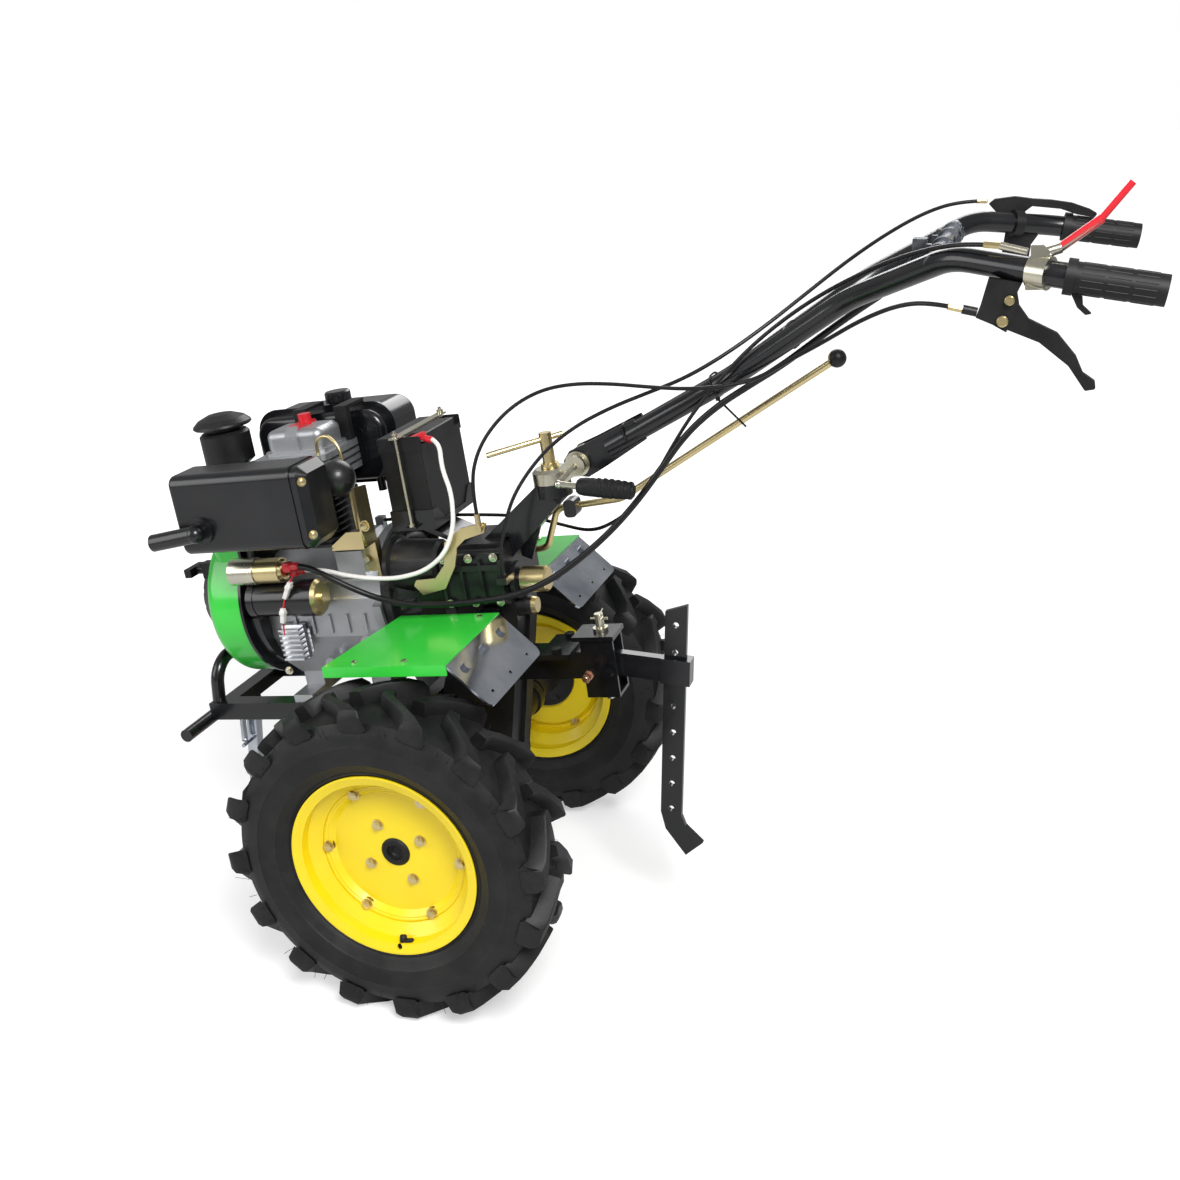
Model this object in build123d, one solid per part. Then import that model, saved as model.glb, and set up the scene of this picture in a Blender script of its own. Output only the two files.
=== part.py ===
from build123d import *
import math
import os

os.makedirs("parts", exist_ok=True)

# Walking tractor with an air-cooled single-cylinder diesel engine
# Millimetres. X forward, Y to the machine's left, Z up.
# Chassis pieces are drawn in a level frame with its origin on the wheel axle's centre.
# The parked machine leans nose-down about that axle, onto its front stand.

# Driving dimensions
TYRE_R = 294.0            # ground to axle, at the lug tips
TYRE_WIDTH = 148.0
TRACK = 733.0             # between the middle planes of the tyres
PARK_PITCH = 9.0          # nose-down lean when parked, degrees
RUN = 0.05                # radial clearance of a running shaft
GAP = 0.3                 # clearance between faces that seat on each other
SHEET = 2.5               # pressed covers and guards

# Wheels
RIM_R = 167.0             # edge of the rim's flange
RIM_WIDTH = 118.0
RIM_T = 3.0
RIM_SEAT_DEPTH = 14.0
RIM_WELL_DEPTH = 34.0
DISC_Y = 7.0              # wheel disc's outer face, outboard of the tyre's middle plane
DISC_T = 5.0
DISC_DISH = 9.0
HUB_HOLE_R = 22.0
HUB_BOLT_PCD = 111.0
WHEEL_BOLT_ANGLE = 57.0
BOLT_R = 5.0
AXLE_R = 20.0
AXLE_GAP = 6.0            # inner end of each half-shaft to the machine's middle plane
HUB_R = 29.0
HUB_FLANGE_R = 68.0
HUB_FLANGE_T = 8.0
HUB_LENGTH = 84.0

# Gearbox and final drive
CASE_R = 84.0
CASE_HALF_Y = 52.0
GEARBOX_FRONT = -34.0
GEARBOX_REAR = -150.0
GEARBOX_TOP = 428.0
GEARBOX_BOTTOM = 326.0
GEARBOX_HALF_Y = 80.0
RIB_T = 5.0
RIB_COUNT = 4
AXLE_TUBE_R = 34.0
AXLE_TUBE_END = 262.0
AXLE_COLLAR_R = 50.0
SELECTOR_Y = 40.0
SELECTOR_Z = 360.0
SELECTOR_R = 23.0
CABLE_LUG_X = -158.0
CABLE_LUG_Z = 384.0

# Engine
CRANK_Z = 345.0
BELL_FRONT = 80.0
BELL_R_FRONT = 112.0
BELL_R_REAR = 72.0
BLOCK_FRONT = 322.0
BLOCK_HALF_Y = 108.0
BLOCK_BOTTOM = 205.0
BLOCK_TOP = 446.0
SUMP_HALF_Y = 72.0
FOOT_X = (140.0, 282.0)
FOOT_HALF_X = 20.0
CYL_X = 232.0
CYL_R = 50.0
FIN_HALF_X = 62.0
FIN_HALF_Y = 60.0
FIN_COUNT = 9
FIN_T = 3.0
HEAD_BOTTOM = 566.0
HEAD_TOP = 618.0
ROCKER_TOP = 662.0
THROTTLE_LUG_Z = 450.0
STARTER_R = 34.0
STARTER_Y = 138.0
STARTER_Z = 376.0
SOLENOID_R = 23.0
SOLENOID_Y = 150.0
SOLENOID_Z = 434.0
LUG_X = 222.0

# Fan shroud and recoil starter
SHROUD_REAR = 350.0
SHROUD_FRONT = 428.0
SHROUD_R = 152.0
SHROUD_TOP = 502.0
DUCT_HALF_Y = 116.0
TRIM_T = 6.0
TRIM_PROUD = 3.0
RECOIL_R = 98.0
RECOIL_DEPTH = 66.0
GRILLE_SLOTS = 16

# Muffler
MUFFLER_REAR = 104.0
MUFFLER_FRONT = 372.0
MUFFLER_INNER = 146.0
MUFFLER_OUTER = 240.0
MUFFLER_BOTTOM = 495.0
MUFFLER_TOP = 637.0
OUTLET_R = 15.0

# Air filter
AIR_X = 418.0
AIR_Y = -26.0
AIR_BOTTOM = 597.0
AIR_R = 47.0

# Fuel tank
TANK_REAR = 108.0
TANK_FRONT = 390.0
TANK_OUTER = -226.0
TANK_INNER = -80.0
TANK_SEAM = -112.0
TANK_BOTTOM = 527.0
TANK_TOP = 668.0
TANK_CORNER = 38.0
SEAM_PROUD = 7.0
FUEL_CAP_X = 232.0
STRAP_X = (176.0, 262.0)

# Battery
BATTERY_REAR = -28.0
BATTERY_WIDTH = 80.0
BATTERY_Y0 = -114.0
BATTERY_LENGTH = 174.0
BATTERY_BOTTOM = 470.0
BATTERY_HEIGHT = 166.0
TRAY_LIP = 34.0

# Mudguards
GUARD_Z = 320.0
GUARD_INNER = 105.0
GUARD_OUTER = 340.0
GUARD_REAR = -141.0
GUARD_FLANGE = 16.0
PLATE_LENGTH = 100.0
PLATE_ANGLE = 47.0
PLATE_T = 4.0

# Front frame
RAIL_Y = 105.0
RAIL_TOP = 161.0
RAIL_H = 34.0
RAIL_W = 34.0
RAIL_WALL = 3.0
RAIL_FRONT = 494.0
RAIL_REAR = -20.0
BUMPER_R = 12.5
BUMPER_HALF = 196.0
BUMPER_Z = 128.0
HOOP_LEAN = 14.0
HOOP_TOP = 240.0
HOOP_BEND = 44.0

# Front stand
STAND_X = 490.0
STAND_DROP = 24.0         # pivot below the rails
STAND_W = 22.0
STAND_EAR_GAP = 1.0
STAND_EAR_T = 6.0
STAND_FOOT_HALF = 80.0
STAND_LEAN = 14.0         # foot ahead of the pivot, on the ground
PIVOT_R = 8.0
SPRING_R = 6.5
SPRING_Y = 26.0
ANCHOR_X = 496.0          # pins on the stand's ears that hold the springs
ANCHOR_Z = 98.0

# Column and swivel head
COLUMN_FOOT = (-104.0, 398.0)
COLUMN_HEAD = (-236.0, 508.0)
COLUMN_DEPTH = 62.0
COLUMN_HALF_Y = 27.0
SWIVEL_X = -238.0
SWIVEL_Z = 524.0
HEAD_R = 33.0
HEAD_T = 26.0
TILT_X = -300.0
TILT_Z = 559.0
TILT_BOSS_R = 24.0
YOKE_HALF_Y = 22.0
CHEEK_T = 6.0
SWIVEL_PIN_LENGTH = 38.0

# Handlebar, in the parked frame
BAR_R = 16.5
BAR_WALL = 2.5
BAR_BASE_Y = 19.0
BAR_HALF_WIDTH = 312.0
BAR_POINTS = [
    (-262.0, BAR_BASE_Y, 924.0),
    (-462.0, BAR_BASE_Y, 1052.0),
    (-655.0, 112.0, 1204.0),
    (-806.0, 246.0, 1286.0),
    (-936.0, 306.0, 1277.0),
    (-1066.0, BAR_HALF_WIDTH, 1264.0),
]
BAR_RADII = [160.0, 200.0, 100.0, 160.0]
GRIP_R = 20.0
GRIP_LENGTH = 118.0
CROSS_X = -782.0
CROSS_R = 14.0

# Control levers, in the parked frame
LEVER_T = 12.0

# Hitch
HITCH_FRONT = -250.0
HITCH_REAR = -312.0
HITCH_BOTTOM = 124.0
HITCH_TOP = 236.0
HITCH_HALF_Y = 28.0
HITCH_WALL = 6.0
HITCH_PIN_R = 8.0
DRAG_HEIGHT = 44.0
DRAG_HALF_Y = 9.0
DRAG_Z = 521.0            # parked frame, ground to the drag bar's middle
DRAG_REAR = -412.0
DRAG_FRONT = -228.0
STAKE_X = -382.0
STAKE_WIDTH = 40.0
STAKE_T = 10.0
STAKE_TOP = 640.0
STAKE_BEND_Z = 222.0
STAKE_HOLE_R = 5.5
STAKE_PITCH = 52.5
STAKE_HOLES_BELOW = 5
STAKE_HOLES_ABOVE = 2
STAKE_BOLT_Z = 503.0

# Gear shift rod
ROD_R = 6.0
ROD_Y = -42.0
KNOB_R = 15.0

nodes = {}


def level(shape):
    """Lean a chassis piece nose-down about the axle and stand it at axle height."""
    return Pos(0, 0, TYRE_R) * (Rot(0, PARK_PITCH, 0) * shape)


def level_point(x, z):
    """A chassis point in the parked frame, as X and Z."""
    a = math.radians(PARK_PITCH)
    return (x * math.cos(a) + z * math.sin(a), z * math.cos(a) - x * math.sin(a) + TYRE_R)


def level_xyz(x, y, z):
    """A chassis point in the parked frame, as X, Y and Z."""
    px, pz = level_point(x, z)
    return (px, y, pz)


def box(x0, x1, y0, y1, z0, z1):
    """A box between two corners."""
    size = (abs(x1 - x0), abs(y1 - y0), abs(z1 - z0))
    return Pos((x0 + x1) / 2, (y0 + y1) / 2, (z0 + z1) / 2) * Box(*size)


def rod(start, end, radius):
    """A round bar between two points."""
    a = Vector(*start)
    b = Vector(*end)
    plane = Plane(origin=a, z_dir=(b - a))
    return extrude(plane * Circle(radius), (b - a).length)


def cyl_x(y, z, x0, x1, radius):
    """A round bar along X."""
    return rod((x0, y, z), (x1, y, z), radius)


def cyl_y(x, z, y0, y1, radius):
    """A round bar along Y."""
    return rod((x, y0, z), (x, y1, z), radius)


def cyl_z(x, y, z0, z1, radius):
    """A round bar along Z."""
    return rod((x, y, z0), (x, y, z1), radius)


def pipe(points, radii, radius, wall=0.0):
    """A bent tube through points, with a bend radius at each inner point."""
    path = FilletPolyline(*points, radius=radii)
    section = Plane(origin=path @ 0, z_dir=path % 0)
    face = section * Circle(radius)
    if wall > 0:
        face = face - section * Circle(radius - wall)
    return sweep(face, path=path)


def cable(points, radius, label):
    """A flexible cable: straight runs joined by the largest arcs that the runs allow."""
    v = [Vector(*p) for p in points]
    radii = []
    for a, b, c in zip(v, v[1:], v[2:]):
        turn = math.radians((b - a).get_angle(c - b))
        run = min((b - a).length, (c - b).length)
        radii.append(0.45 * run / math.tan(turn / 2))
    path = FilletPolyline(*points, radius=radii)
    tube = sweep(Plane(origin=path @ 0, z_dir=path % 0) * Circle(radius), path=path)
    share = tube.volume / (path.length * math.pi * radius ** 2)
    print(label, "length", round(path.length), "least bend", round(min(radii)), "fill", round(share, 3))
    return tube


def profile_xz(points, y0, y1):
    """A closed XZ outline, extruded from y0 to y1."""
    wire = Polyline(*[(x, 0, z) for x, z in points], close=True)
    solid = extrude(make_face(wire), abs(y1 - y0), dir=(0, 1, 0))
    return Pos(0, min(y0, y1), 0) * solid


def spin_x(points, y=0.0, z=0.0):
    """Revolve an outline of (x, radius) points about an axis along X."""
    wire = Polyline(*[(x, r, 0) for x, r in points], close=True)
    return Pos(0, y, z) * revolve(make_face(wire), Axis.X)


def spin_y(points):
    """Revolve an outline of (radius, y) points about the wheel axis."""
    wire = Polyline(*[(r, y, 0) for r, y in points], close=True)
    return revolve(make_face(wire), Axis.Y)


def spin_z(points, x=0.0, y=0.0, z=0.0):
    """Revolve an outline of (radius, z) points about an upright axis."""
    wire = Polyline(*[(r, 0, h) for r, h in points], close=True)
    return Pos(x, y, z) * revolve(make_face(wire), Axis.Z)


def ring_points(count, pcd, first):
    """Places round a bolt circle in the wheel's plane, as X and Z."""
    for i in range(count):
        a = math.radians(first + 360 * i / count)
        yield pcd / 2 * math.cos(a), pcd / 2 * math.sin(a)


def mirrored(shape):
    """The same piece on the other side of the machine."""
    return mirror(shape, about=Plane.XZ)


def both_sides(shape):
    """A piece and its mirror image."""
    return shape + mirrored(shape)


# Wheels
def make_tyre():
    """Tyre envelope over the lug tips, with a crowned tread and round sidewalls."""
    half = TYRE_WIDTH / 2
    bead = RIM_WIDTH / 2 - 11.0
    seat = RIM_R - RIM_SEAT_DEPTH + GAP
    shoulder = TYRE_R - 22
    belly = 228.0
    wall = 14.0
    with BuildPart() as tyre:
        with BuildSketch(Plane.XY):
            with BuildLine():
                Polyline((shoulder, -half), (TYRE_R - 2, -half + 8), (TYRE_R, -half + 30))
                Line((TYRE_R, -half + 30), (TYRE_R, half - 30))
                Polyline((TYRE_R, half - 30), (TYRE_R - 2, half - 8), (shoulder, half))
                Spline((shoulder, half), (belly, half - 3), (192, bead + 15), (RIM_R + 3, bead + 7))
                Polyline((RIM_R + 3, bead + 7), (seat + 4, bead + 1), (seat, bead - 2), (seat, bead - wall))
                Spline((seat, bead - wall), (190, half - 17), (belly, half - wall), (262, 0),
                       (belly, -half + wall), (190, -half + 17), (seat, -bead + wall))
                Polyline((seat, -bead + wall), (seat, -bead + 2), (seat + 4, -bead - 1), (RIM_R + 3, -bead - 7))
                Spline((RIM_R + 3, -bead - 7), (192, -bead - 15), (belly, -half + 3), (shoulder, -half))
            make_face()
        revolve(axis=Axis.Y)
    return tyre.part


def make_rim():
    """Drop-centre rim with rolled flanges and a bolted, dished disc."""
    half = RIM_WIDTH / 2
    t = RIM_T
    seat = RIM_R - RIM_SEAT_DEPTH
    well = RIM_R - RIM_WELL_DEPTH
    rim = spin_y([
        (RIM_R, half), (RIM_R - t, half), (seat - t, half - 5), (seat - t, half - 26),
        (well - t, half - 40), (well - t, -half + 40), (seat - t, -half + 26),
        (seat - t, -half + 5), (RIM_R - t, -half), (RIM_R, -half), (RIM_R, -half + t),
        (seat, -half + 5 + t), (seat, -half + 25), (well, -half + 39), (well, half - 39),
        (seat, half - 25), (seat, half - 5 - t), (RIM_R, half - t),
    ])
    ring = well - t
    outer = DISC_Y
    inner = DISC_Y - DISC_T
    disc = spin_y([
        (HUB_HOLE_R, outer), (ring - 18, outer), (ring - 9, outer + DISC_DISH),
        (ring + 0.5, outer + DISC_DISH), (ring + 0.5, inner + DISC_DISH), (ring - 7, inner + DISC_DISH),
        (ring - 16, inner), (HUB_HOLE_R, inner),
    ])
    bead = Pos(0, outer + DISC_DISH - 2, 0) * (Rot(90, 0, 0) * Torus(ring - 3, 4))
    rim = rim + disc + bead
    for x, z in ring_points(4, HUB_BOLT_PCD, WHEEL_BOLT_ANGLE):
        rim = rim - cyl_y(x, z, inner - 1, outer + 1, BOLT_R + 0.5)
    slot = rod((0, half - 60, -seat - 14), (0, half + 10, -seat + 2), 5)
    return rim - Rot(0, 8, 0) * slot


def make_hub():
    """Axle half-shaft with the wheel's hub: a sleeve and a bolting flange behind the disc."""
    back = DISC_Y - DISC_T
    hub = spin_y([
        (0, back - 6), (AXLE_R - 3, back - 6), (AXLE_R - 3, back), (HUB_FLANGE_R, back),
        (HUB_FLANGE_R, back - HUB_FLANGE_T), (HUB_R + 6, back - HUB_FLANGE_T),
        (HUB_R, back - HUB_FLANGE_T - 10), (HUB_R, back - HUB_LENGTH), (AXLE_R, back - HUB_LENGTH),
        (AXLE_R, AXLE_GAP - TRACK / 2), (0, AXLE_GAP - TRACK / 2),
    ])
    for x, z in ring_points(4, HUB_BOLT_PCD, WHEEL_BOLT_ANGLE):
        hub = hub + cyl_y(x, z, back - HUB_FLANGE_T - 7, DISC_Y, BOLT_R)
    clamp_bolt = rod((HUB_R - 6, back - HUB_LENGTH + 18, 0), (HUB_R + 16, back - HUB_LENGTH + 18, 0), 7)
    return hub + clamp_bolt


tyre = make_tyre()
rim = make_rim()
hub = make_hub()
for side, sign in (("left", 1), ("right", -1)):
    for name, piece in (("tyre", tyre), ("rim", rim), ("hub", hub)):
        placed = piece if sign > 0 else mirrored(piece)
        nodes[name + "_" + side] = Pos(0, sign * TRACK / 2, TYRE_R) * placed


# Gearbox, axle tubes and clutch housing
def make_gearbox():
    """Upright chain case round the axle with a ribbed gear housing on top."""
    neck_low = GEARBOX_BOTTOM - 40
    case = profile_xz([
        (-CASE_R, 0), (GEARBOX_REAR, neck_low), (GEARBOX_REAR, GEARBOX_TOP - 6),
        (GEARBOX_FRONT, GEARBOX_TOP - 6), (GEARBOX_FRONT, neck_low + 20), (CASE_R, 0),
    ], -CASE_HALF_Y, CASE_HALF_Y)
    case = case + cyl_y(0, 0, -CASE_HALF_Y, CASE_HALF_Y, CASE_R)
    flange = profile_xz([
        (-CASE_R - 9, 0), (GEARBOX_REAR - 7, neck_low), (GEARBOX_REAR - 7, GEARBOX_BOTTOM),
        (GEARBOX_FRONT + 6, GEARBOX_BOTTOM), (GEARBOX_FRONT + 8, neck_low + 20), (CASE_R + 9, 0),
    ], -6, 6)
    flange = flange + cyl_y(0, 0, -6, 6, CASE_R + 9)
    top = box(GEARBOX_REAR, GEARBOX_FRONT, -GEARBOX_HALF_Y, GEARBOX_HALF_Y, GEARBOX_BOTTOM, GEARBOX_TOP)
    top = fillet(top.edges().filter_by(Axis.X), 8)
    case = case + flange + top
    lid = box(GEARBOX_REAR + 8, GEARBOX_FRONT - 8, -58, 58, GEARBOX_TOP - 1, GEARBOX_TOP + 7)
    case = case + fillet(lid.edges().filter_by(Axis.Z), 8)
    step = (GEARBOX_FRONT - GEARBOX_REAR - RIB_T) / (RIB_COUNT - 1)
    for i in range(RIB_COUNT):
        x = GEARBOX_REAR + i * step
        rib = box(x, x + RIB_T, -GEARBOX_HALF_Y - 7, GEARBOX_HALF_Y + 7, GEARBOX_BOTTOM + 6, GEARBOX_TOP - 16)
        case = case + rib
    band = box(GEARBOX_REAR, GEARBOX_FRONT, -GEARBOX_HALF_Y - 7, GEARBOX_HALF_Y + 7,
               GEARBOX_TOP - 34, GEARBOX_TOP - 24)
    case = case + band
    boss = cyl_y(0, 0, -CASE_HALF_Y - 4, CASE_HALF_Y + 4, AXLE_COLLAR_R + 6)
    cable_lug = box(CABLE_LUG_X - 7, GEARBOX_REAR + 4, 66, 104, CABLE_LUG_Z - 12, CABLE_LUG_Z)
    case = case + cable_lug
    return case + boss - cyl_y(0, 0, -CASE_HALF_Y - 9, CASE_HALF_Y + 9, AXLE_R + 12)


gear_case = make_gearbox()
nodes["gearbox"] = level(gear_case)

collar_y = CASE_HALF_Y + 4 + GAP
tube = cyl_y(0, 0, collar_y, AXLE_TUBE_END, AXLE_TUBE_R)
tube = tube + cyl_y(0, 0, collar_y, collar_y + 12, AXLE_COLLAR_R)
tube = tube + cyl_y(0, 0, AXLE_TUBE_END - 22, AXLE_TUBE_END, AXLE_TUBE_R + 4)
tube = tube - cyl_y(0, 0, collar_y - 1, AXLE_TUBE_END + 1, AXLE_R + RUN)
nodes["axle_tubes"] = level(both_sides(tube))

bell = spin_x([
    (GEARBOX_FRONT, 0), (GEARBOX_FRONT, BELL_R_REAR - 8), (-18, BELL_R_REAR), (22, BELL_R_REAR + 8),
    (52, BELL_R_FRONT - 14), (62, BELL_R_FRONT - 12), (62, BELL_R_FRONT), (BELL_FRONT, BELL_R_FRONT),
    (BELL_FRONT, 0),
], z=CRANK_Z)
barrel = spin_x([
    (-30, 0), (-30, 40), (-24, 46), (56, 50), (60, 58), (68, 58), (68, 0),
], y=52, z=CRANK_Z + 54)
arm_boss = cyl_y(-4, 374, 50, 105.7, 10)
for i in range(6):
    a = math.radians(60 * i + 30)
    rib = box(24, 66, -3, 3, BELL_R_REAR - 4, BELL_R_FRONT - 6)
    bell = bell + Pos(0, 0, CRANK_Z) * (Rot(math.degrees(a), 0, 0) * rib)
nodes["clutch_housing"] = level(bell + barrel + arm_boss - gear_case)

selector = spin_x([
    (GEARBOX_REAR - 68, 0), (GEARBOX_REAR - 68, SELECTOR_R - 3), (GEARBOX_REAR - 65, SELECTOR_R),
    (GEARBOX_REAR - 20, SELECTOR_R), (GEARBOX_REAR - 20, SELECTOR_R - 4), (GEARBOX_REAR - 14, SELECTOR_R - 4),
    (GEARBOX_REAR - 14, SELECTOR_R + 11), (GEARBOX_REAR - 6, SELECTOR_R + 11), (GEARBOX_REAR - 6, 16),
    (GEARBOX_REAR - GAP, 16), (GEARBOX_REAR - GAP, 0),
], y=SELECTOR_Y, z=SELECTOR_Z)
filler = spin_x([
    (GEARBOX_REAR - 34, 0), (GEARBOX_REAR - 34, 14), (GEARBOX_REAR - 18, 18), (GEARBOX_REAR - GAP, 20),
    (GEARBOX_REAR - GAP, 0),
], y=30, z=SELECTOR_Z - 52)
nodes["selector_cap"] = level(selector + filler - gear_case)

arm = make_face(Polyline(
    (10, 0, 380), (-4, 0, 362), (-50, 0, 372), (-76, 0, 412), (-86, 0, 446), (-104, 0, 460),
    (-142, 0, 470), (-150, 0, 489), (-99, 0, 480), (-64, 0, 456), (-56, 0, 416), (-34, 0, 392), (4, 0, 390),
    close=True))
arm = Pos(0, 106, 0) * extrude(arm, 4, dir=(0, 1, 0))
arm = fillet(arm.edges().filter_by(Axis.Y), 3)
arm = arm + cyl_y(-138, 480, 110, 122, 6)
arm = arm + cyl_z(-138, 116, 474, 506, 5)
nodes["clutch_arm"] = level(arm)


# Engine
def make_block():
    """Crankcase: a tapered sump, round end covers, cheeks that narrow to the cylinder, and feet."""
    block = profile_xz([
        (BELL_FRONT, BLOCK_BOTTOM + 24), (BELL_FRONT + 20, BLOCK_BOTTOM), (BLOCK_FRONT - 20, BLOCK_BOTTOM),
        (BLOCK_FRONT, BLOCK_BOTTOM + 24), (BLOCK_FRONT, BLOCK_TOP - 30), (BLOCK_FRONT - 26, BLOCK_TOP),
        (BELL_FRONT + 70, BLOCK_TOP), (BELL_FRONT, BLOCK_TOP - 46),
    ], -BLOCK_HALF_Y, BLOCK_HALF_Y)
    side = BLOCK_HALF_Y + 1
    cheek = make_face(Polyline((0, side, BLOCK_BOTTOM - 1), (0, side, CRANK_Z - 55),
                               (0, SUMP_HALF_Y, BLOCK_BOTTOM - 1), close=True))
    shoulder = make_face(Polyline((0, side, BLOCK_TOP + 1), (0, side, BLOCK_TOP - 50),
                                  (0, FIN_HALF_Y + 6, BLOCK_TOP + 1), close=True))
    for face in (cheek, shoulder):
        cut = Pos(BELL_FRONT - 5, 0, 0) * extrude(face, BLOCK_FRONT - BELL_FRONT + 10, dir=(1, 0, 0))
        block = block - both_sides(cut)
    cover = cyl_x(0, CRANK_Z, BELL_FRONT, BELL_FRONT + 16, BELL_R_FRONT + 8)
    ribs = None
    for i in range(5):
        x = BELL_FRONT + 40 + i * 36
        rib = box(x, x + 5, -BLOCK_HALF_Y - 4, BLOCK_HALF_Y + 4, CRANK_Z - 50, CRANK_Z - 14)
        ribs = rib if ribs is None else ribs + rib
    block = block + cover + ribs
    for x in FOOT_X:
        riser = box(x - FOOT_HALF_X, x + FOOT_HALF_X, -SUMP_HALF_Y + 4, SUMP_HALF_Y - 4,
                    RAIL_TOP + 14, BLOCK_BOTTOM + 1)
        foot = box(x - FOOT_HALF_X, x + FOOT_HALF_X, -RAIL_Y - 14, RAIL_Y + 14,
                   RAIL_TOP + GAP, RAIL_TOP + 15)
        block = block + riser + foot
    pump = box(96, 150, 60, 118, BLOCK_TOP - 46, BLOCK_TOP + 6)
    pump = pump + cyl_z(122, 73, BLOCK_TOP, BLOCK_TOP + 30, 12)
    filler_neck = cyl_y(112, 282, BLOCK_HALF_Y - 20, BLOCK_HALF_Y + 26, 15)
    strainer = cyl_y(206, 238, 70, BLOCK_HALF_Y + 12, 12)
    throttle_lug = box(150, 166, -92, -76, BLOCK_TOP - 36, THROTTLE_LUG_Z + 8)
    block = block + pump + filler_neck + strainer + throttle_lug
    bay = cyl_x(STARTER_Y, STARTER_Z, BELL_FRONT - 5, BLOCK_FRONT + 5, STARTER_R + GAP)
    return block - bay


crankcase = make_block()
nodes["crankcase"] = level(crankcase)

cylinder = cyl_z(CYL_X, 0, BLOCK_TOP + GAP, HEAD_BOTTOM, CYL_R)
fin_step = (HEAD_BOTTOM - BLOCK_TOP - 14) / FIN_COUNT
for i in range(FIN_COUNT):
    z = BLOCK_TOP + 12 + i * fin_step
    fin = extrude(RectangleRounded(2 * FIN_HALF_X, 2 * FIN_HALF_Y, 18), FIN_T)
    cylinder = cylinder + Pos(CYL_X, 0, z) * fin
nodes["cylinder"] = level(cylinder)

head = Pos(CYL_X, 0, HEAD_BOTTOM) * extrude(RectangleRounded(148, 138, 14), HEAD_TOP - HEAD_BOTTOM)
for i in range(3):
    slot = extrude(Rectangle(170, 160), 5) - extrude(RectangleRounded(124, 114, 10), 5)
    head = head - Pos(CYL_X, 0, HEAD_BOTTOM + 10 + i * 13) * slot
head = head + cyl_y(CYL_X - 46, 592, 50, 92, 24)
intake = rod((CYL_X + 66, 0, 592), (AIR_X, AIR_Y, 572), 19)
intake = intake + Pos(AIR_X, AIR_Y, 572) * Sphere(20)
intake = intake + cyl_z(AIR_X, AIR_Y, 572, AIR_BOTTOM - 6, 22)
intake = intake + cyl_z(AIR_X, AIR_Y, AIR_BOTTOM - 8, AIR_BOTTOM - GAP, 34)
nodes["cylinder_head"] = level(head + intake)

rocker = Pos(CYL_X, 0, HEAD_TOP) * extrude(RectangleRounded(128, 96, 16), 6)
hump = Pos(CYL_X, 0, HEAD_TOP + 5) * extrude(RectangleRounded(116, 84, 16), ROCKER_TOP - HEAD_TOP - 5)
hump = fillet(hump.faces().sort_by(Axis.Z)[-1].edges(), 14)
bridge = box(CYL_X - 12, CYL_X + 12, -44, 46, HEAD_TOP + 5, ROCKER_TOP + 5)
bridge = chamfer(bridge.edges().filter_by(Axis.X).sort_by(Axis.Z)[-2:], 14)
plug = cyl_z(CYL_X - 4, -8, ROCKER_TOP, ROCKER_TOP + 20, 12)
nodes["rocker_cover"] = level(rocker + hump + bridge + plug)


def shroud_shape(inset):
    """Outside of the fan shroud, or its inside when inset by the sheet's thickness."""
    front = SHROUD_FRONT - inset
    soft = 24 - inset
    drum = cyl_x(0, CRANK_Z, SHROUD_REAR, front, SHROUD_R - inset)
    drum = fillet(drum.faces().sort_by(Axis.X)[-1].edges(), soft)
    half = DUCT_HALF_Y - inset
    duct = box(SHROUD_REAR, front - 16, -half, half, CRANK_Z, SHROUD_TOP - inset)
    duct = fillet(duct.faces().sort_by(Axis.X)[-1].edges(), soft)
    return drum + duct


shroud = shroud_shape(0) - shroud_shape(SHEET)
shroud = shroud - cyl_x(0, CRANK_Z, SHROUD_FRONT - 30, SHROUD_FRONT + 5, RECOIL_R - 12)
nodes["fan_shroud"] = level(shroud)

trim = cyl_x(0, CRANK_Z, SHROUD_REAR - TRIM_T, SHROUD_REAR - GAP, SHROUD_R + TRIM_PROUD)
trim = trim + box(SHROUD_REAR - TRIM_T, SHROUD_REAR - GAP, -DUCT_HALF_Y - TRIM_PROUD,
                  DUCT_HALF_Y + TRIM_PROUD, CRANK_Z, SHROUD_TOP + TRIM_PROUD)
backing = cyl_x(0, CRANK_Z, BLOCK_FRONT + GAP, SHROUD_REAR - TRIM_T + 1, SHROUD_R - 10)
backing = backing + box(BLOCK_FRONT + GAP, SHROUD_REAR - TRIM_T + 1, -DUCT_HALF_Y + 8, DUCT_HALF_Y - 8,
                        CRANK_Z, SHROUD_TOP - 8)
starter_room = cyl_x(STARTER_Y, STARTER_Z, 0, SHROUD_REAR - TRIM_T - 1, STARTER_R + 2)
nodes["shroud_trim"] = level(trim + backing - starter_room)

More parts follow.
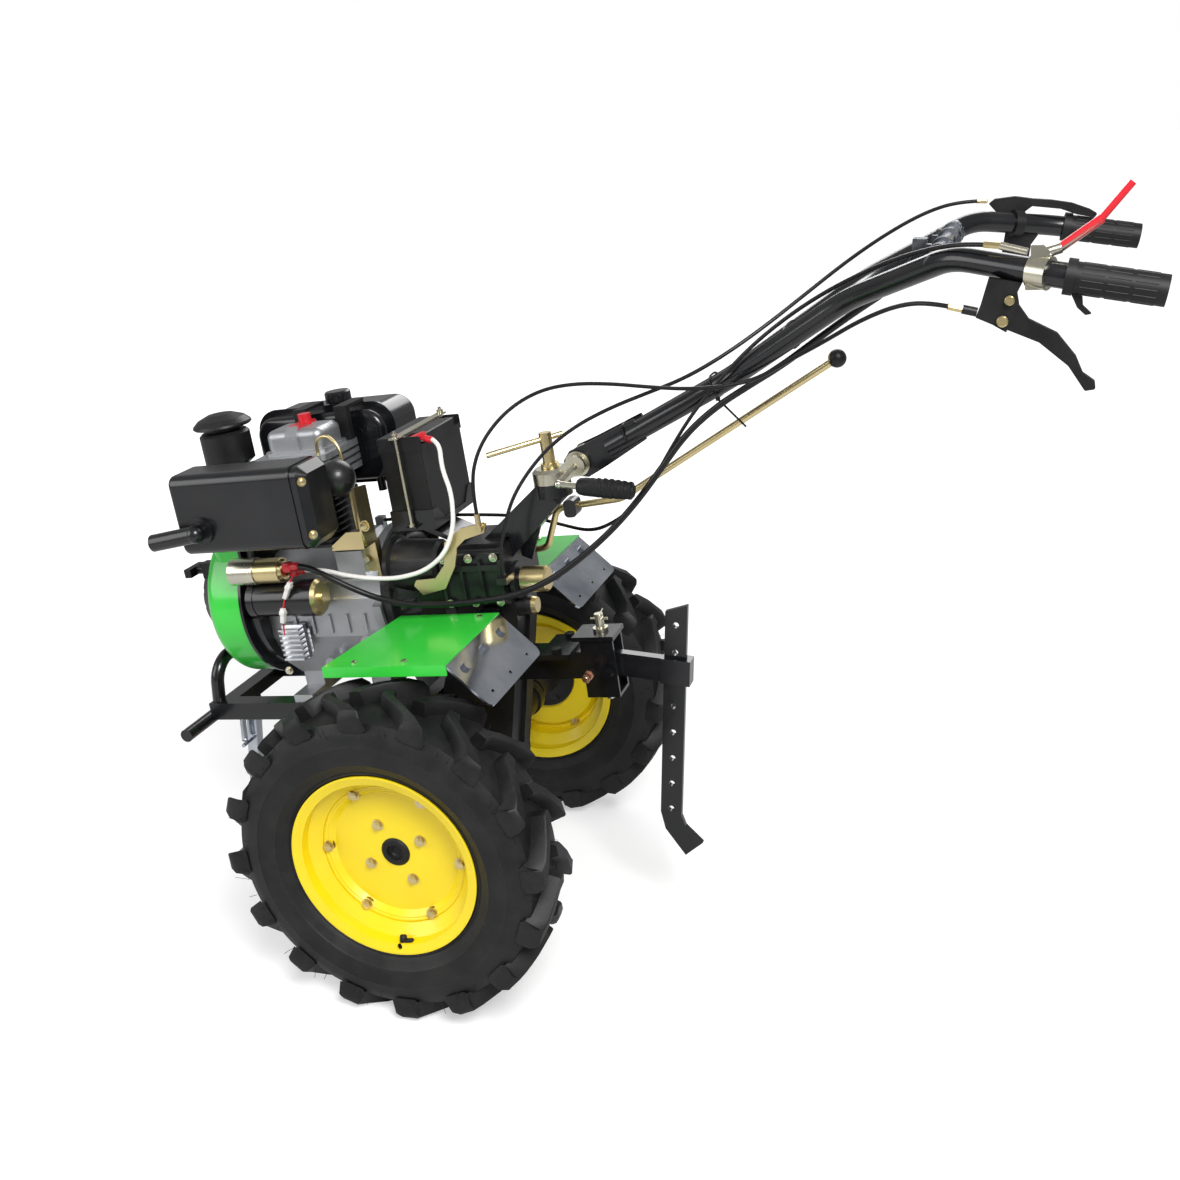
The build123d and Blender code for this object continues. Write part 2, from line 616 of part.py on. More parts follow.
face_x = SHROUD_FRONT + RECOIL_DEPTH
recoil = spin_x([
    (SHROUD_FRONT + GAP, RECOIL_R - 16), (SHROUD_FRONT + GAP, RECOIL_R + 6), (SHROUD_FRONT + 4, RECOIL_R + 6),
    (SHROUD_FRONT + 4, RECOIL_R), (SHROUD_FRONT + 28, RECOIL_R - 3), (face_x - 12, RECOIL_R - 24),
    (face_x, 36), (face_x, 0), (face_x - 3, 0), (face_x - 3, 34), (face_x - 14, RECOIL_R - 27),
    (SHROUD_FRONT + 27, RECOIL_R - 6), (SHROUD_FRONT + 6, RECOIL_R - 4), (SHROUD_FRONT + 4, RECOIL_R - 16),
], z=CRANK_Z)
for i in range(GRILLE_SLOTS):
    a = 360 * i / GRILLE_SLOTS
    slot = box(SHROUD_FRONT + 30, face_x + 10, -4, 4, 40, RECOIL_R - 22)
    recoil = recoil - Pos(0, 0, CRANK_Z) * (Rot(a, 0, 0) * slot)
rope_eye = box(SHROUD_FRONT + 6, SHROUD_FRONT + 34, 62, 84, CRANK_Z + 58, CRANK_Z + 88)
handle = cyl_x(73, CRANK_Z + 73, SHROUD_FRONT + 34.3, SHROUD_FRONT + 52, 8)
handle = handle + box(SHROUD_FRONT + 50, SHROUD_FRONT + 64, 48, 98, CRANK_Z + 65, CRANK_Z + 81)
nodes["recoil_starter"] = level(recoil + rope_eye + handle)

# Exhaust
muffler = box(MUFFLER_REAR, MUFFLER_FRONT, MUFFLER_INNER, MUFFLER_OUTER, MUFFLER_BOTTOM, MUFFLER_TOP)
muffler = fillet(muffler.edges().filter_by(Axis.X), 18)
muffler = chamfer(muffler.faces().sort_by(Axis.X)[0].edges(), 14)
muffler = fillet(muffler.faces().sort_by(Axis.X)[-1].edges(), 8)
seam = box(MUFFLER_REAR + 26, MUFFLER_REAR + 31, MUFFLER_INNER - 2, MUFFLER_OUTER + 2,
           MUFFLER_BOTTOM - 2, MUFFLER_TOP + 2)
seam = fillet(seam.edges().filter_by(Axis.X), 19)
outlet_y = MUFFLER_OUTER + 20
outlet = cyl_y(324, 540, MUFFLER_OUTER - 2, MUFFLER_OUTER + 6, OUTLET_R + 9)
outlet = outlet + cyl_y(324, 540, MUFFLER_OUTER, outlet_y, OUTLET_R)
outlet = outlet + Pos(324, outlet_y, 540) * Sphere(OUTLET_R + 1)
spout = rod((324, outlet_y, 540), (410, outlet_y + 4, 530), OUTLET_R)
spout = spout - rod((360, outlet_y + 1.7, 535.8), (411, outlet_y + 4, 529.9), OUTLET_R - 2)
nodes["muffler"] = level(muffler + seam + outlet + spout)

manifold_end = (CYL_X - 80, MUFFLER_INNER - GAP - 8, 592)
manifold = pipe([(CYL_X - 46, 92 + GAP, 592), (CYL_X - 46, 118, 592), manifold_end],
                [16], 22)
flange = cyl_y(CYL_X - 46, 592, 92 + GAP, 100, 32)
dome = Pos(116, 112, 585) * Sphere(33)
dome = dome & box(60, 180, 60, MUFFLER_INNER - GAP, 540, 640)
inboard = box(0, 400, 60, MUFFLER_INNER - GAP, 500, 700)
nodes["exhaust_manifold"] = level((manifold + flange + dome) & inboard - head - rocker)

plate_corners = [(0, 96, 466), (0, 96, 566), (0, 140, 572), (0, 142, 492), (0, 134, 466)]
plate = make_face(Polyline(*plate_corners, close=True))
plate = Pos(72, 0, 0) * extrude(plate, 4, dir=(1, 0, 0))
wing = profile_xz([(74, 466), (74, 494), (104, 494), (138, 470), (130, 462), (74, 462)], 138, 142)
foot = box(74, 138, 100, 142, 462, 466)
strut = box(74, 100, 84, 102, BLOCK_TOP - 60, 466)
nodes["muffler_bracket"] = level(plate + wing + foot + strut - crankcase - muffler - bell)

# Air filter: a mushroom cap on an oil-bath drum
air = spin_z([
    (0, 0), (AIR_R - 8, 0), (AIR_R, 6), (AIR_R, 58), (AIR_R - 5, 63), (30, 65), (30, 74), (34, 77),
    (52, 72), (55, 75), (54, 79), (44, 88), (24, 96), (0, 99),
], AIR_X, AIR_Y, AIR_BOTTOM)
nodes["air_filter"] = level(air)


# Fuel tank
def tank_shell(y0, y1, inset, soft):
    """One pressed half of the tank, with big corners and a soft end face."""
    shell = box(TANK_REAR + inset, TANK_FRONT - inset, y0, y1, TANK_BOTTOM + inset, TANK_TOP - inset)
    shell = fillet(shell.edges().filter_by(Axis.Y), TANK_CORNER)
    end = shell.faces().sort_by(Axis.Y)
    face = end[0] if y1 == TANK_SEAM else end[-1]
    return fillet(face.edges(), soft)


near_half = tank_shell(TANK_SEAM, TANK_INNER, 4, 12)
far_half = tank_shell(TANK_OUTER, TANK_SEAM, 0, 18)
seam = box(TANK_REAR - SEAM_PROUD, TANK_FRONT + SEAM_PROUD, TANK_SEAM - 2, TANK_SEAM + 2,
           TANK_BOTTOM - SEAM_PROUD, TANK_TOP + SEAM_PROUD)
seam = fillet(seam.edges().filter_by(Axis.Y), TANK_CORNER + SEAM_PROUD)
pressing = box(
    TANK_REAR + 44, TANK_FRONT - 44, TANK_INNER - 1, TANK_INNER + 2.5, TANK_BOTTOM + 30, TANK_TOP - 30)
pressing = fillet(pressing.edges().filter_by(Axis.Y), 24)
cap_y = (TANK_OUTER + TANK_SEAM) / 2 + 20
cap_profile = [(0, 0), (19, 0), (19, 6), (25, 8), (25, 26), (22, 29), (0, 29)]
fuel_cap = spin_z(cap_profile, FUEL_CAP_X, cap_y, TANK_TOP - 2)
tap = cyl_z(150, TANK_SEAM + 10, TANK_BOTTOM - 22, TANK_BOTTOM + 8, 8)
nodes["fuel_tank"] = level(near_half + far_half + seam + pressing + fuel_cap + tap)

straps = None
for x in STRAP_X:
    bar = box(x - 13, x + 13, -60, -48, HEAD_TOP - 24, TANK_TOP + 8)
    bar = bar + box(x - 13, x + 13, TANK_SEAM - 8, -48, TANK_TOP + 8.3, TANK_TOP + 14)
    bar = bar + box(x - 13, x + 13, TANK_SEAM - 8, TANK_SEAM - 4, TANK_TOP + GAP, TANK_TOP + 9)
    bar = bar + box(x - 4, x + 4, TANK_INNER + 3, -56, HEAD_TOP - 24, TANK_TOP + 9)
    straps = bar if straps is None else straps + bar
nodes["tank_straps"] = level(straps - head - rocker - seam - pressing)

fuel_pipe = cable([
    (176, 58, HEAD_TOP + GAP), (176, 58, HEAD_TOP + 24), (150, 62, HEAD_TOP + 36), (126, 67, HEAD_TOP + 14),
    (122, 68, HEAD_TOP - 40), (122, 68.5, BLOCK_TOP + 30 + GAP)], 3, "fuel pipe")
nodes["fuel_pipe"] = level(fuel_pipe)

# Electric starter
starter = spin_x([
    (176, 0), (176, 12), (182, 12), (182, STARTER_R - 6), (188, STARTER_R), (222, STARTER_R),
    (222, STARTER_R - 1.5), (BLOCK_FRONT - 14, STARTER_R - 1.5), (BLOCK_FRONT - 14, STARTER_R),
    (BLOCK_FRONT - GAP, STARTER_R), (BLOCK_FRONT - GAP, 0),
], y=STARTER_Y, z=STARTER_Z)
nodes["starter_motor"] = level(starter)
solenoid = spin_x([
    (236, 0), (236, SOLENOID_R - 6), (242, SOLENOID_R - 3), (242, SOLENOID_R), (292, SOLENOID_R),
    (292, SOLENOID_R + 2), (SHROUD_REAR - TRIM_T - GAP, SOLENOID_R + 2), (SHROUD_REAR - TRIM_T - GAP, 0),
], y=SOLENOID_Y, z=SOLENOID_Z)
lugs = cyl_x(SOLENOID_Y + 8, SOLENOID_Z + 8, LUG_X, 238, 6)
lugs = lugs + cyl_x(SOLENOID_Y - 10, SOLENOID_Z - 6, LUG_X, 238, 6)
nodes["starter_solenoid"] = level(solenoid + lugs - cyl_x(STARTER_Y, STARTER_Z, 170, 360, STARTER_R + GAP))

reg_y = BLOCK_HALF_Y + 4 + GAP
regulator = box(246, 292, reg_y, reg_y + 10, 252, 318)
for i in range(7):
    z = 254 + i * 9.5
    regulator = regulator + box(248, 290, reg_y + 9, reg_y + 26, z, z + 3.5)
reg_lug = box(238, 300, reg_y, reg_y + 4, 262, 308)
nodes["regulator"] = level(regulator + reg_lug)

# Battery, tray and clamp rods
bat_front = BATTERY_REAR + BATTERY_WIDTH
bat_y1 = BATTERY_Y0 + BATTERY_LENGTH
bat_top = BATTERY_BOTTOM + BATTERY_HEIGHT
battery = box(BATTERY_REAR, bat_front, BATTERY_Y0, bat_y1, BATTERY_BOTTOM, bat_top - 26)
battery = fillet(battery.edges().filter_by(Axis.Z), 3)
lid = box(BATTERY_REAR - 2, bat_front + 2, BATTERY_Y0 - 2, bat_y1 + 2, bat_top - 26, bat_top)
lid = fillet(lid.edges().filter_by(Axis.Z), 3)
lid = chamfer(lid.faces().sort_by(Axis.Z)[-1].edges(), 2)
notch = box(BATTERY_REAR - 5, BATTERY_REAR + 26, BATTERY_Y0 + 2, BATTERY_Y0 + 30, bat_top - 16, bat_top + 5)
notch2 = box(BATTERY_REAR - 5, BATTERY_REAR + 26, bat_y1 - 30, bat_y1 - 2, bat_top - 16, bat_top + 5)
groove = box(BATTERY_REAR + 30, BATTERY_REAR + 36, BATTERY_Y0 + 12, bat_y1 - 12, bat_top - 4, bat_top + 5)
battery = battery + lid - notch - notch2 - groove
for y in (BATTERY_Y0 + 16, bat_y1 - 16):
    battery = battery + box(BATTERY_REAR + 4, BATTERY_REAR + 20, y - 6, y + 6, bat_top - 17, bat_top - 3)
nodes["battery"] = level(battery)

tray = box(BATTERY_REAR - SHEET, bat_front + SHEET, BATTERY_Y0 - SHEET, bat_y1 + SHEET,
           BATTERY_BOTTOM - SHEET, BATTERY_BOTTOM + TRAY_LIP)
tray = tray - box(BATTERY_REAR - GAP, bat_front + GAP, BATTERY_Y0 - GAP, bat_y1 + GAP,
                  BATTERY_BOTTOM - GAP, bat_top)
scoop = make_face(Polyline((0, BATTERY_Y0 + 16, BATTERY_BOTTOM + TRAY_LIP + 1),
                           (0, BATTERY_Y0 + 40, BATTERY_BOTTOM + 8), (0, bat_y1 - 40, BATTERY_BOTTOM + 8),
                           (0, bat_y1 - 16, BATTERY_BOTTOM + TRAY_LIP + 1), close=True))
tray = tray - Pos(BATTERY_REAR - 20, 0, 0) * extrude(scoop, 40, dir=(1, 0, 0))
saddle = profile_xz([
    (-74, GEARBOX_TOP + 7 + GAP), (-50, GEARBOX_TOP + 7 + GAP), (8, BATTERY_BOTTOM - SHEET - 4),
    (34, BATTERY_BOTTOM - SHEET - 4), (34, BATTERY_BOTTOM - SHEET + 1), (-2, BATTERY_BOTTOM - SHEET + 1),
    (-56, GEARBOX_TOP + 14), (-74, GEARBOX_TOP + 14),
], -44, 44)
ears = None
for y in (BATTERY_Y0 - SHEET - 14, bat_y1 + SHEET - 1):
    ear = box(BATTERY_REAR + 30, BATTERY_REAR + 50, y, y + 15, BATTERY_BOTTOM + 4, BATTERY_BOTTOM + 7)
    ears = ear if ears is None else ears + ear
nodes["battery_tray"] = level(tray + saddle + ears)

clamp_x = BATTERY_REAR + 40
clamp = box(clamp_x - 9, clamp_x + 9, BATTERY_Y0 - 18, bat_y1 + 18, bat_top + GAP, bat_top + 3)
for y in (BATTERY_Y0 - 10, bat_y1 + 10):
    clamp = clamp + cyl_z(clamp_x, y, BATTERY_BOTTOM + 7 + GAP, bat_top + 14, 3)
    clamp = clamp + cyl_z(clamp_x, y, bat_top + 2, bat_top + 9, 6)
    clamp = clamp + cyl_z(clamp_x, y, BATTERY_BOTTOM + 7 + GAP, BATTERY_BOTTOM + 12, 6)
nodes["battery_clamp"] = level(clamp)

# Mudguards, rear plates and their carriers
guard = make_face(Polyline((GUARD_REAR, GUARD_INNER, 0), (51, GUARD_INNER, 0), (84, GUARD_OUTER, 0),
                           (GUARD_REAR, GUARD_OUTER, 0), close=True))
guard = Pos(0, 0, GUARD_Z) * extrude(guard, SHEET)
guard = guard + box(GUARD_REAR, 84, GUARD_OUTER - SHEET, GUARD_OUTER, GUARD_Z - GUARD_FLANGE, GUARD_Z + 1)
nodes["mudguards"] = level(both_sides(guard))

plate = box(-PLATE_LENGTH, 0, GUARD_INNER, GUARD_OUTER - SHEET - GAP, -PLATE_T, 0)
corner_edges = plate.edges().filter_by(Axis.Z).group_by(Axis.X)[0]
plate = fillet(corner_edges, 16)
for y in (GUARD_INNER + 40, (GUARD_INNER + GUARD_OUTER) / 2, GUARD_OUTER - 40):
    plate = plate - Pos(-PLATE_LENGTH + 18, y, 0) * Cylinder(4, 20)
    plate = plate + Pos(-24, y, 3) * Cylinder(8, 6)
plate = Pos(GUARD_REAR, 0, GUARD_Z - GAP) * (Rot(0, -PLATE_ANGLE, 0) * plate)
nodes["rear_plates"] = level(both_sides(plate))

carrier = box(-124, -94, CASE_HALF_Y + GAP, GUARD_OUTER - 24, GUARD_Z - 24, GUARD_Z - GAP)
carrier = carrier - box(-121, -97, CASE_HALF_Y - 5, GUARD_OUTER, GUARD_Z - 30, GUARD_Z - 4)
carrier = carrier + box(20, 44, 62, GUARD_OUTER - 40, GUARD_Z - 8, GUARD_Z - GAP)
carrier = carrier + box(20, 44, 62, 68, GUARD_Z - 40, GUARD_Z - 1)
nodes["guard_carriers"] = level(both_sides(carrier - bell - gear_case))


# Front frame with bumper and stand bracket
def make_front_frame():
    """Two box rails under the engine, cross members, a bumper bar with a hoop, and stand ears."""
    low = RAIL_TOP - RAIL_H
    rail = box(RAIL_REAR, RAIL_FRONT, RAIL_Y - RAIL_W / 2, RAIL_Y + RAIL_W / 2, low, RAIL_TOP)
    rail = rail - box(RAIL_REAR - 1, RAIL_FRONT - 6, RAIL_Y - RAIL_W / 2 + RAIL_WALL,
                      RAIL_Y + RAIL_W / 2 - RAIL_WALL, low + RAIL_WALL, RAIL_TOP - RAIL_WALL)
    frame = both_sides(rail)
    inner = RAIL_Y - RAIL_W / 2 + 1
    for x, w in ((30.0, 30.0), (RAIL_FRONT - 34, 34.0)):
        frame = frame + box(x, x + w, -inner, inner, low, RAIL_TOP - 8)
    bumper_x = RAIL_FRONT + BUMPER_R - 2
    frame = frame + cyl_y(bumper_x, BUMPER_Z, -BUMPER_HALF, BUMPER_HALF, BUMPER_R)
    foot_x = RAIL_FRONT - BUMPER_R
    head_x = foot_x - HOOP_LEAN
    hoop = pipe([
        (foot_x, -RAIL_Y, RAIL_TOP - 4), (head_x, -RAIL_Y, HOOP_TOP), (head_x, RAIL_Y, HOOP_TOP),
        (foot_x, RAIL_Y, RAIL_TOP - 4)], [HOOP_BEND, HOOP_BEND], BUMPER_R)
    frame = frame + hoop
    pivot_z = low - STAND_DROP
    ear_y = STAND_W / 2 + STAND_EAR_GAP
    for sign in (1, -1):
        y0 = sign * ear_y
        y1 = sign * (ear_y + STAND_EAR_T)
        ear = box(STAND_X - 16, STAND_X + 4, y0, y1, pivot_z - 14, low + 2)
        ear = ear + cyl_y(STAND_X - 6, pivot_z - 2, y0, y1, 15)
        ear = ear + cyl_y(ANCHOR_X, ANCHOR_Z, y0, y1, 10)
        ear = ear + cyl_y(ANCHOR_X, ANCHOR_Z, y0, sign * (SPRING_Y + 8), 4)
        frame = frame + ear
    return frame + cyl_y(STAND_X - 6, pivot_z, -ear_y - STAND_EAR_T, ear_y + STAND_EAR_T, PIVOT_R)


frame = make_front_frame()
nodes["front_frame"] = level(frame - gear_case)

stand_x = STAND_X - 6
stand_z = RAIL_TOP - RAIL_H - STAND_DROP
px, pz = level_point(stand_x, stand_z)
foot_x = px + STAND_LEAN
foot_r = 10.0
half = STAND_W / 2
tube_len = math.hypot(foot_x - px, pz - foot_r)
lean = math.degrees(math.atan2(foot_x - px, pz - foot_r))
leg = box(-half, half, -half, half, -tube_len, 0)
leg = leg + cyl_y(0, 0, -half, half, half + 3)
leg = Pos(px, 0, pz) * (Rot(0, -lean, 0) * leg)
stand = leg + cyl_y(foot_x, foot_r, -STAND_FOOT_HALF, STAND_FOOT_HALF, foot_r)
anchor_x, anchor_z = level_point(ANCHOR_X, ANCHOR_Z)
hook_z = pz - 78
hook_x = anchor_x
stand = stand + cyl_y(hook_x, hook_z, -SPRING_Y - 8, SPRING_Y + 8, 4)
nodes["front_stand"] = stand - cyl_y(px, pz, -60, 60, PIVOT_R + RUN)

spring_x = hook_x
spring_low = hook_z + 4 + GAP
spring_high = anchor_z - 4 - GAP
springs = None
for y in (-SPRING_Y, SPRING_Y):
    spring = cyl_z(spring_x, y, spring_low, spring_high, SPRING_R)
    springs = spring if springs is None else springs + spring
nodes["stand_springs"] = springs


# Column and swivel yoke
def along_column(t, across):
    """A point at share t up the column's centreline, offset across it, as X and Z."""
    dx = COLUMN_HEAD[0] - COLUMN_FOOT[0]
    dz = COLUMN_HEAD[1] - COLUMN_FOOT[1]
    size = math.hypot(dx, dz)
    x = COLUMN_FOOT[0] + dx * t - across * dz / size
    z = COLUMN_FOOT[1] + dz * t + across * dx / size
    return x, z


wide = COLUMN_DEPTH / 2
column = profile_xz([along_column(-0.1, -wide), along_column(-0.1, wide), along_column(1, wide * 0.8),
                     along_column(1, -wide * 0.8)], -COLUMN_HALF_Y, COLUMN_HALF_Y)
column = column + cyl_z(SWIVEL_X, 0, SWIVEL_Z - 24, SWIVEL_Z, HEAD_R)
gusset = profile_xz([(GEARBOX_REAR - 8, 392), (GEARBOX_REAR - 8, GEARBOX_TOP - 20), (-196, 440), (-206, 452),
                     (-176, 384)], -3, 3)
column = column + gusset
column = column - box(SWIVEL_X - 80, SWIVEL_X + 80, -60, 60, SWIVEL_Z, SWIVEL_Z + 80)
column = column - box(
    GEARBOX_REAR - GAP, GEARBOX_FRONT + 10, -200, 200, GEARBOX_BOTTOM - 60, GEARBOX_TOP + 7 + GAP)
guide = box(-264, -241, ROD_Y - 12, -COLUMN_HALF_Y + 4, 450, 482)
guide = fillet(guide.edges().filter_by(Axis.Y), 8)
rod_points = [(GEARBOX_REAR - 3 * GAP, ROD_Y, 386), (-192, ROD_Y, 392), (-222, ROD_Y, 464),
              (-345, ROD_Y, 474), (-742, ROD_Y, 684)]
column = column + guide
guide_hole = rod(rod_points[2], rod_points[3], ROD_R + GAP)
pin_hole = cyl_z(SWIVEL_X, 0, SWIVEL_Z - SWIVEL_PIN_LENGTH - 2, SWIVEL_Z + 1, PIVOT_R + RUN)
nodes["column"] = level(column - guide_hole - pin_hole - gear_case)

yoke = spin_z([(0, GAP), (HEAD_R, GAP), (HEAD_R, HEAD_T - 6), (HEAD_R - 6, HEAD_T), (0, HEAD_T)],
              SWIVEL_X, 0, SWIVEL_Z)
yoke = yoke + cyl_z(SWIVEL_X, 0, SWIVEL_Z - SWIVEL_PIN_LENGTH, SWIVEL_Z + 4, PIVOT_R)
neck_y = YOKE_HALF_Y - 6
yoke = yoke + profile_xz([
    (SWIVEL_X - 10, SWIVEL_Z + 3), (SWIVEL_X - 19, SWIVEL_Z + HEAD_T - 2), (TILT_X + 6, TILT_Z + 20),
    (TILT_X, TILT_Z - 18), (SWIVEL_X - 34, SWIVEL_Z + 3)], -neck_y, neck_y)
yoke = yoke + cyl_y(TILT_X, TILT_Z, -YOKE_HALF_Y + 2, YOKE_HALF_Y - 2, TILT_BOSS_R)
nodes["swivel_yoke"] = level(yoke - cyl_y(TILT_X, TILT_Z, -60, 60, PIVOT_R + RUN))

tee_top = SWIVEL_Z + HEAD_T + 62
tee = cyl_z(SWIVEL_X, 0, SWIVEL_Z + HEAD_T + GAP, tee_top, 11)
tee = tee + cyl_z(SWIVEL_X, 0, SWIVEL_Z + HEAD_T + GAP, SWIVEL_Z + HEAD_T + 8, 16)
tee = tee + rod((SWIVEL_X - 26, -18, tee_top - 8), (SWIVEL_X + 89, 58, tee_top - 20), 5)
nodes["swivel_lock_lever"] = level(tee)

# Handlebar and its clamp
tilt_x, tilt_z = level_point(TILT_X, TILT_Z)
left_bar = pipe(BAR_POINTS, BAR_RADII, BAR_R, BAR_WALL)
left_core = pipe(BAR_POINTS, BAR_RADII, BAR_R)
nodes["handlebar_tubes"] = both_sides(left_bar)

cheek_in = YOKE_HALF_Y - 2 + GAP
cheek = profile_xz([
    (tilt_x + 26, tilt_z + 2), (tilt_x + 16, tilt_z + 20), (tilt_x - 18, tilt_z + 38),
    (tilt_x - 96, tilt_z + 84), (tilt_x - 120, tilt_z + 52), (tilt_x - 54, tilt_z + 2),
    (tilt_x - 20, tilt_z - 22), (tilt_x + 14, tilt_z - 22)], cheek_in, cheek_in + CHEEK_T)
cheeks = both_sides(cheek - rod(BAR_POINTS[0], BAR_POINTS[1], BAR_R))
cheeks = cheeks + cyl_y(tilt_x, tilt_z, -cheek_in - CHEEK_T - 9, cheek_in + CHEEK_T + 14, PIVOT_R)
cheeks = cheeks + cyl_y(tilt_x, tilt_z, -cheek_in - CHEEK_T - 9, -cheek_in - CHEEK_T, 14)
web = box(tilt_x - 62, tilt_x - 56, -cheek_in - 1, cheek_in + 1, tilt_z + 12, tilt_z + 50)
cheeks = cheeks + web - both_sides(rod(BAR_POINTS[0], BAR_POINTS[1], BAR_R + 0.2))
nodes["handlebar_clamp"] = cheeks

hub_y = cheek_in + CHEEK_T + GAP
crank = cyl_y(tilt_x, tilt_z, hub_y, hub_y + 20, 18)
crank = crank - cyl_y(tilt_x, tilt_z, hub_y - 1, hub_y + 14.5, PIVOT_R + GAP)
crank = crank + cyl_y(tilt_x, tilt_z, hub_y, hub_y + 4, 22)
crank = crank - cyl_y(tilt_x, tilt_z, hub_y - 1, hub_y + 5, PIVOT_R + GAP)
crank = crank + rod((tilt_x, hub_y + 19, tilt_z), (tilt_x + 14, 90, tilt_z - 20), 5.5)
crank = crank + Pos(tilt_x + 14, 90, tilt_z - 20) * Sphere(7)
crank = crank + rod((tilt_x + 14, 90, tilt_z - 20), (tilt_x - 20, 90, tilt_z - 20), 5.5)
nodes["clamp_crank"] = crank
grip = spin_x([(0, 0), (0, 11), (-4, 14), (-14, 15.5), (-70, 15.5), (-92, 14), (-98, 10), (-98, 0)],
              y=90, z=tilt_z - 20)
nodes["crank_grip"] = Pos(tilt_x - 20 - GAP, 0, 0) * grip

grips = None
g0 = Vector(*BAR_POINTS[-1])
g1 = Vector(*BAR_POINTS[-2])
along = (g1 - g0).normalized()
sleeve = rod(tuple(g0 - along * 4), tuple(g0 + along * GRIP_LENGTH), GRIP_R)
collar = rod(tuple(g0 + along * (GRIP_LENGTH - 12)), tuple(g0 + along * GRIP_LENGTH), GRIP_R + 3)
sleeve = sleeve + collar - left_core
nodes["grips"] = both_sides(sleeve)

share = (CROSS_X - BAR_POINTS[2][0]) / (BAR_POINTS[3][0] - BAR_POINTS[2][0])
cross_y = BAR_POINTS[2][1] + share * (BAR_POINTS[3][1] - BAR_POINTS[2][1])
cross_z = BAR_POINTS[2][2] + share * (BAR_POINTS[3][2] - BAR_POINTS[2][2]) + 2
cross = cyl_y(CROSS_X, cross_z, -cross_y - 10, cross_y + 10, CROSS_R)
for y in (-150, -60, 60, 150):
    cross = cross + cyl_y(CROSS_X, cross_z, y - 11, y + 11, CROSS_R + 4)
    cross = cross + box(CROSS_X + 12, CROSS_X + 26, y - 8, y + 8, cross_z - 6, cross_z + 6)
knob = box(CROSS_X + 24, CROSS_X + 44, 46, 74, cross_z - 16, cross_z + 14)
HARNESS_R = 5.5
harness_start = Vector(CROSS_X + 34, 60, cross_z - 6)
harness_next = Vector(-716, 61, 1218)
socket_end = harness_start - (harness_next - harness_start).normalized() * GAP
cross = cross + knob - rod(tuple(socket_end), tuple(harness_next), HARNESS_R + GAP)
nodes["cross_bar"] = cross - both_sides(left_core)


# Control levers
def lever_plate(points, y, thick, soft):
    """A flat pressed lever with rounded corners, in an upright plane."""
    plate = profile_xz(points, y - thick / 2, y + thick / 2)
    return fillet(plate.edges().filter_by(Axis.Y), soft) if soft > 0 else plate


clutch = lever_plate([
    (-856, 1268), (-898, 1264), (-893, 1251), (-897, 1236), (-885, 1200), (-867, 1209), (-845, 1217),
    (-849, 1231)], 292, 16, 0)
blade = lever_plate([
    (-893, 1240), (-911, 1218), (-948, 1202), (-974, 1174), (-985, 1153), (-1001, 1143), (-1003, 1133),
    (-990, 1130), (-966, 1161), (-927, 1189), (-886, 1203), (-872, 1214)], 292, LEVER_T, 3)
clutch = clutch + blade
clutch = clutch + cyl_y(-885, 1242, 282, 303, 5) + cyl_y(-879, 1215, 282, 303, 6)
clutch = clutch + rod((-846, 292, 1223), (-827, 292, 1226), 6)
trigger = lever_plate([(-957, 1256), (-972, 1252), (-974, 1241), (-986, 1231), (-978, 1229), (-967, 1238)],
                      308, 6, 1)
nodes["clutch_lever"] = clutch + trigger - left_core - sleeve

perch = lever_plate([
    (-859, 1272), (-909, 1270), (-911, 1262), (-902, 1247), (-900, 1214), (-855, 1216), (-857, 1239)],
    -292, 14, 0)
top_lever = lever_plate([
    (-827, 1310), (-836, 1318), (-867, 1323), (-896, 1320), (-924, 1319), (-958, 1315), (-987, 1306),
    (-1000, 1299), (-996, 1293), (-968, 1297), (-942, 1305), (-897, 1308), (-876, 1290), (-850, 1288)],
    -296, 14, 2)
band = rod((-868, -274.6, 1281.7), (-882, -281.1, 1280.7), BAR_R + 5)
nodes["brake_lever"] = perch + top_lever + band - mirrored(left_core)

throttle = lever_plate([
    (-903, 1312), (-918, 1313), (-927, 1306), (-928, 1275), (-930, 1258), (-902, 1256), (-901, 1273),
    (-905, 1295)], 306, 4, 2)
band = rod((-907, 292.6, 1279), (-930, 303.2, 1277.4), BAR_R + 5)
red_lever = rod((-914, 300, 1300), (-940, 297, 1309), 7)
red_lever = red_lever + rod((-938, 297.2, 1308.3), (-984, 293, 1346), 6)
red_lever = red_lever + rod((-982, 293.2, 1344), (-1014, 290, 1390), 4.5)
fitting = rod((-900, 296, 1302), (-866, 290, 1308), 5)
nodes["throttle_lever"] = throttle + band + red_lever + fitting - left_core


# Hitch, drag bar and depth stake
hitch = box(HITCH_REAR, HITCH_FRONT, -HITCH_HALF_Y, HITCH_HALF_Y, HITCH_BOTTOM, HITCH_TOP)
hitch = hitch - box(HITCH_REAR - 1, HITCH_FRONT - HITCH_WALL, -HITCH_HALF_Y + HITCH_WALL,
                    HITCH_HALF_Y - HITCH_WALL, HITCH_BOTTOM + HITCH_WALL, HITCH_TOP - HITCH_WALL)
hitch = hitch + box(
    HITCH_REAR - 4, HITCH_FRONT + 12, -HITCH_HALF_Y - 5, HITCH_HALF_Y + 5, HITCH_TOP - 1, HITCH_TOP + 7)
hitch = hitch + box(HITCH_FRONT - 1, -100, -24, 24, 160, 212)
hitch = hitch + box(-236, -176, -52, 52, 208, 218)
for y in (-38, 38):
    hitch = hitch + Pos(-208, y, 217) * extrude(RegularPolygon(10, 6), 9)
hitch_pin_x = (HITCH_FRONT - HITCH_WALL + HITCH_REAR) / 2
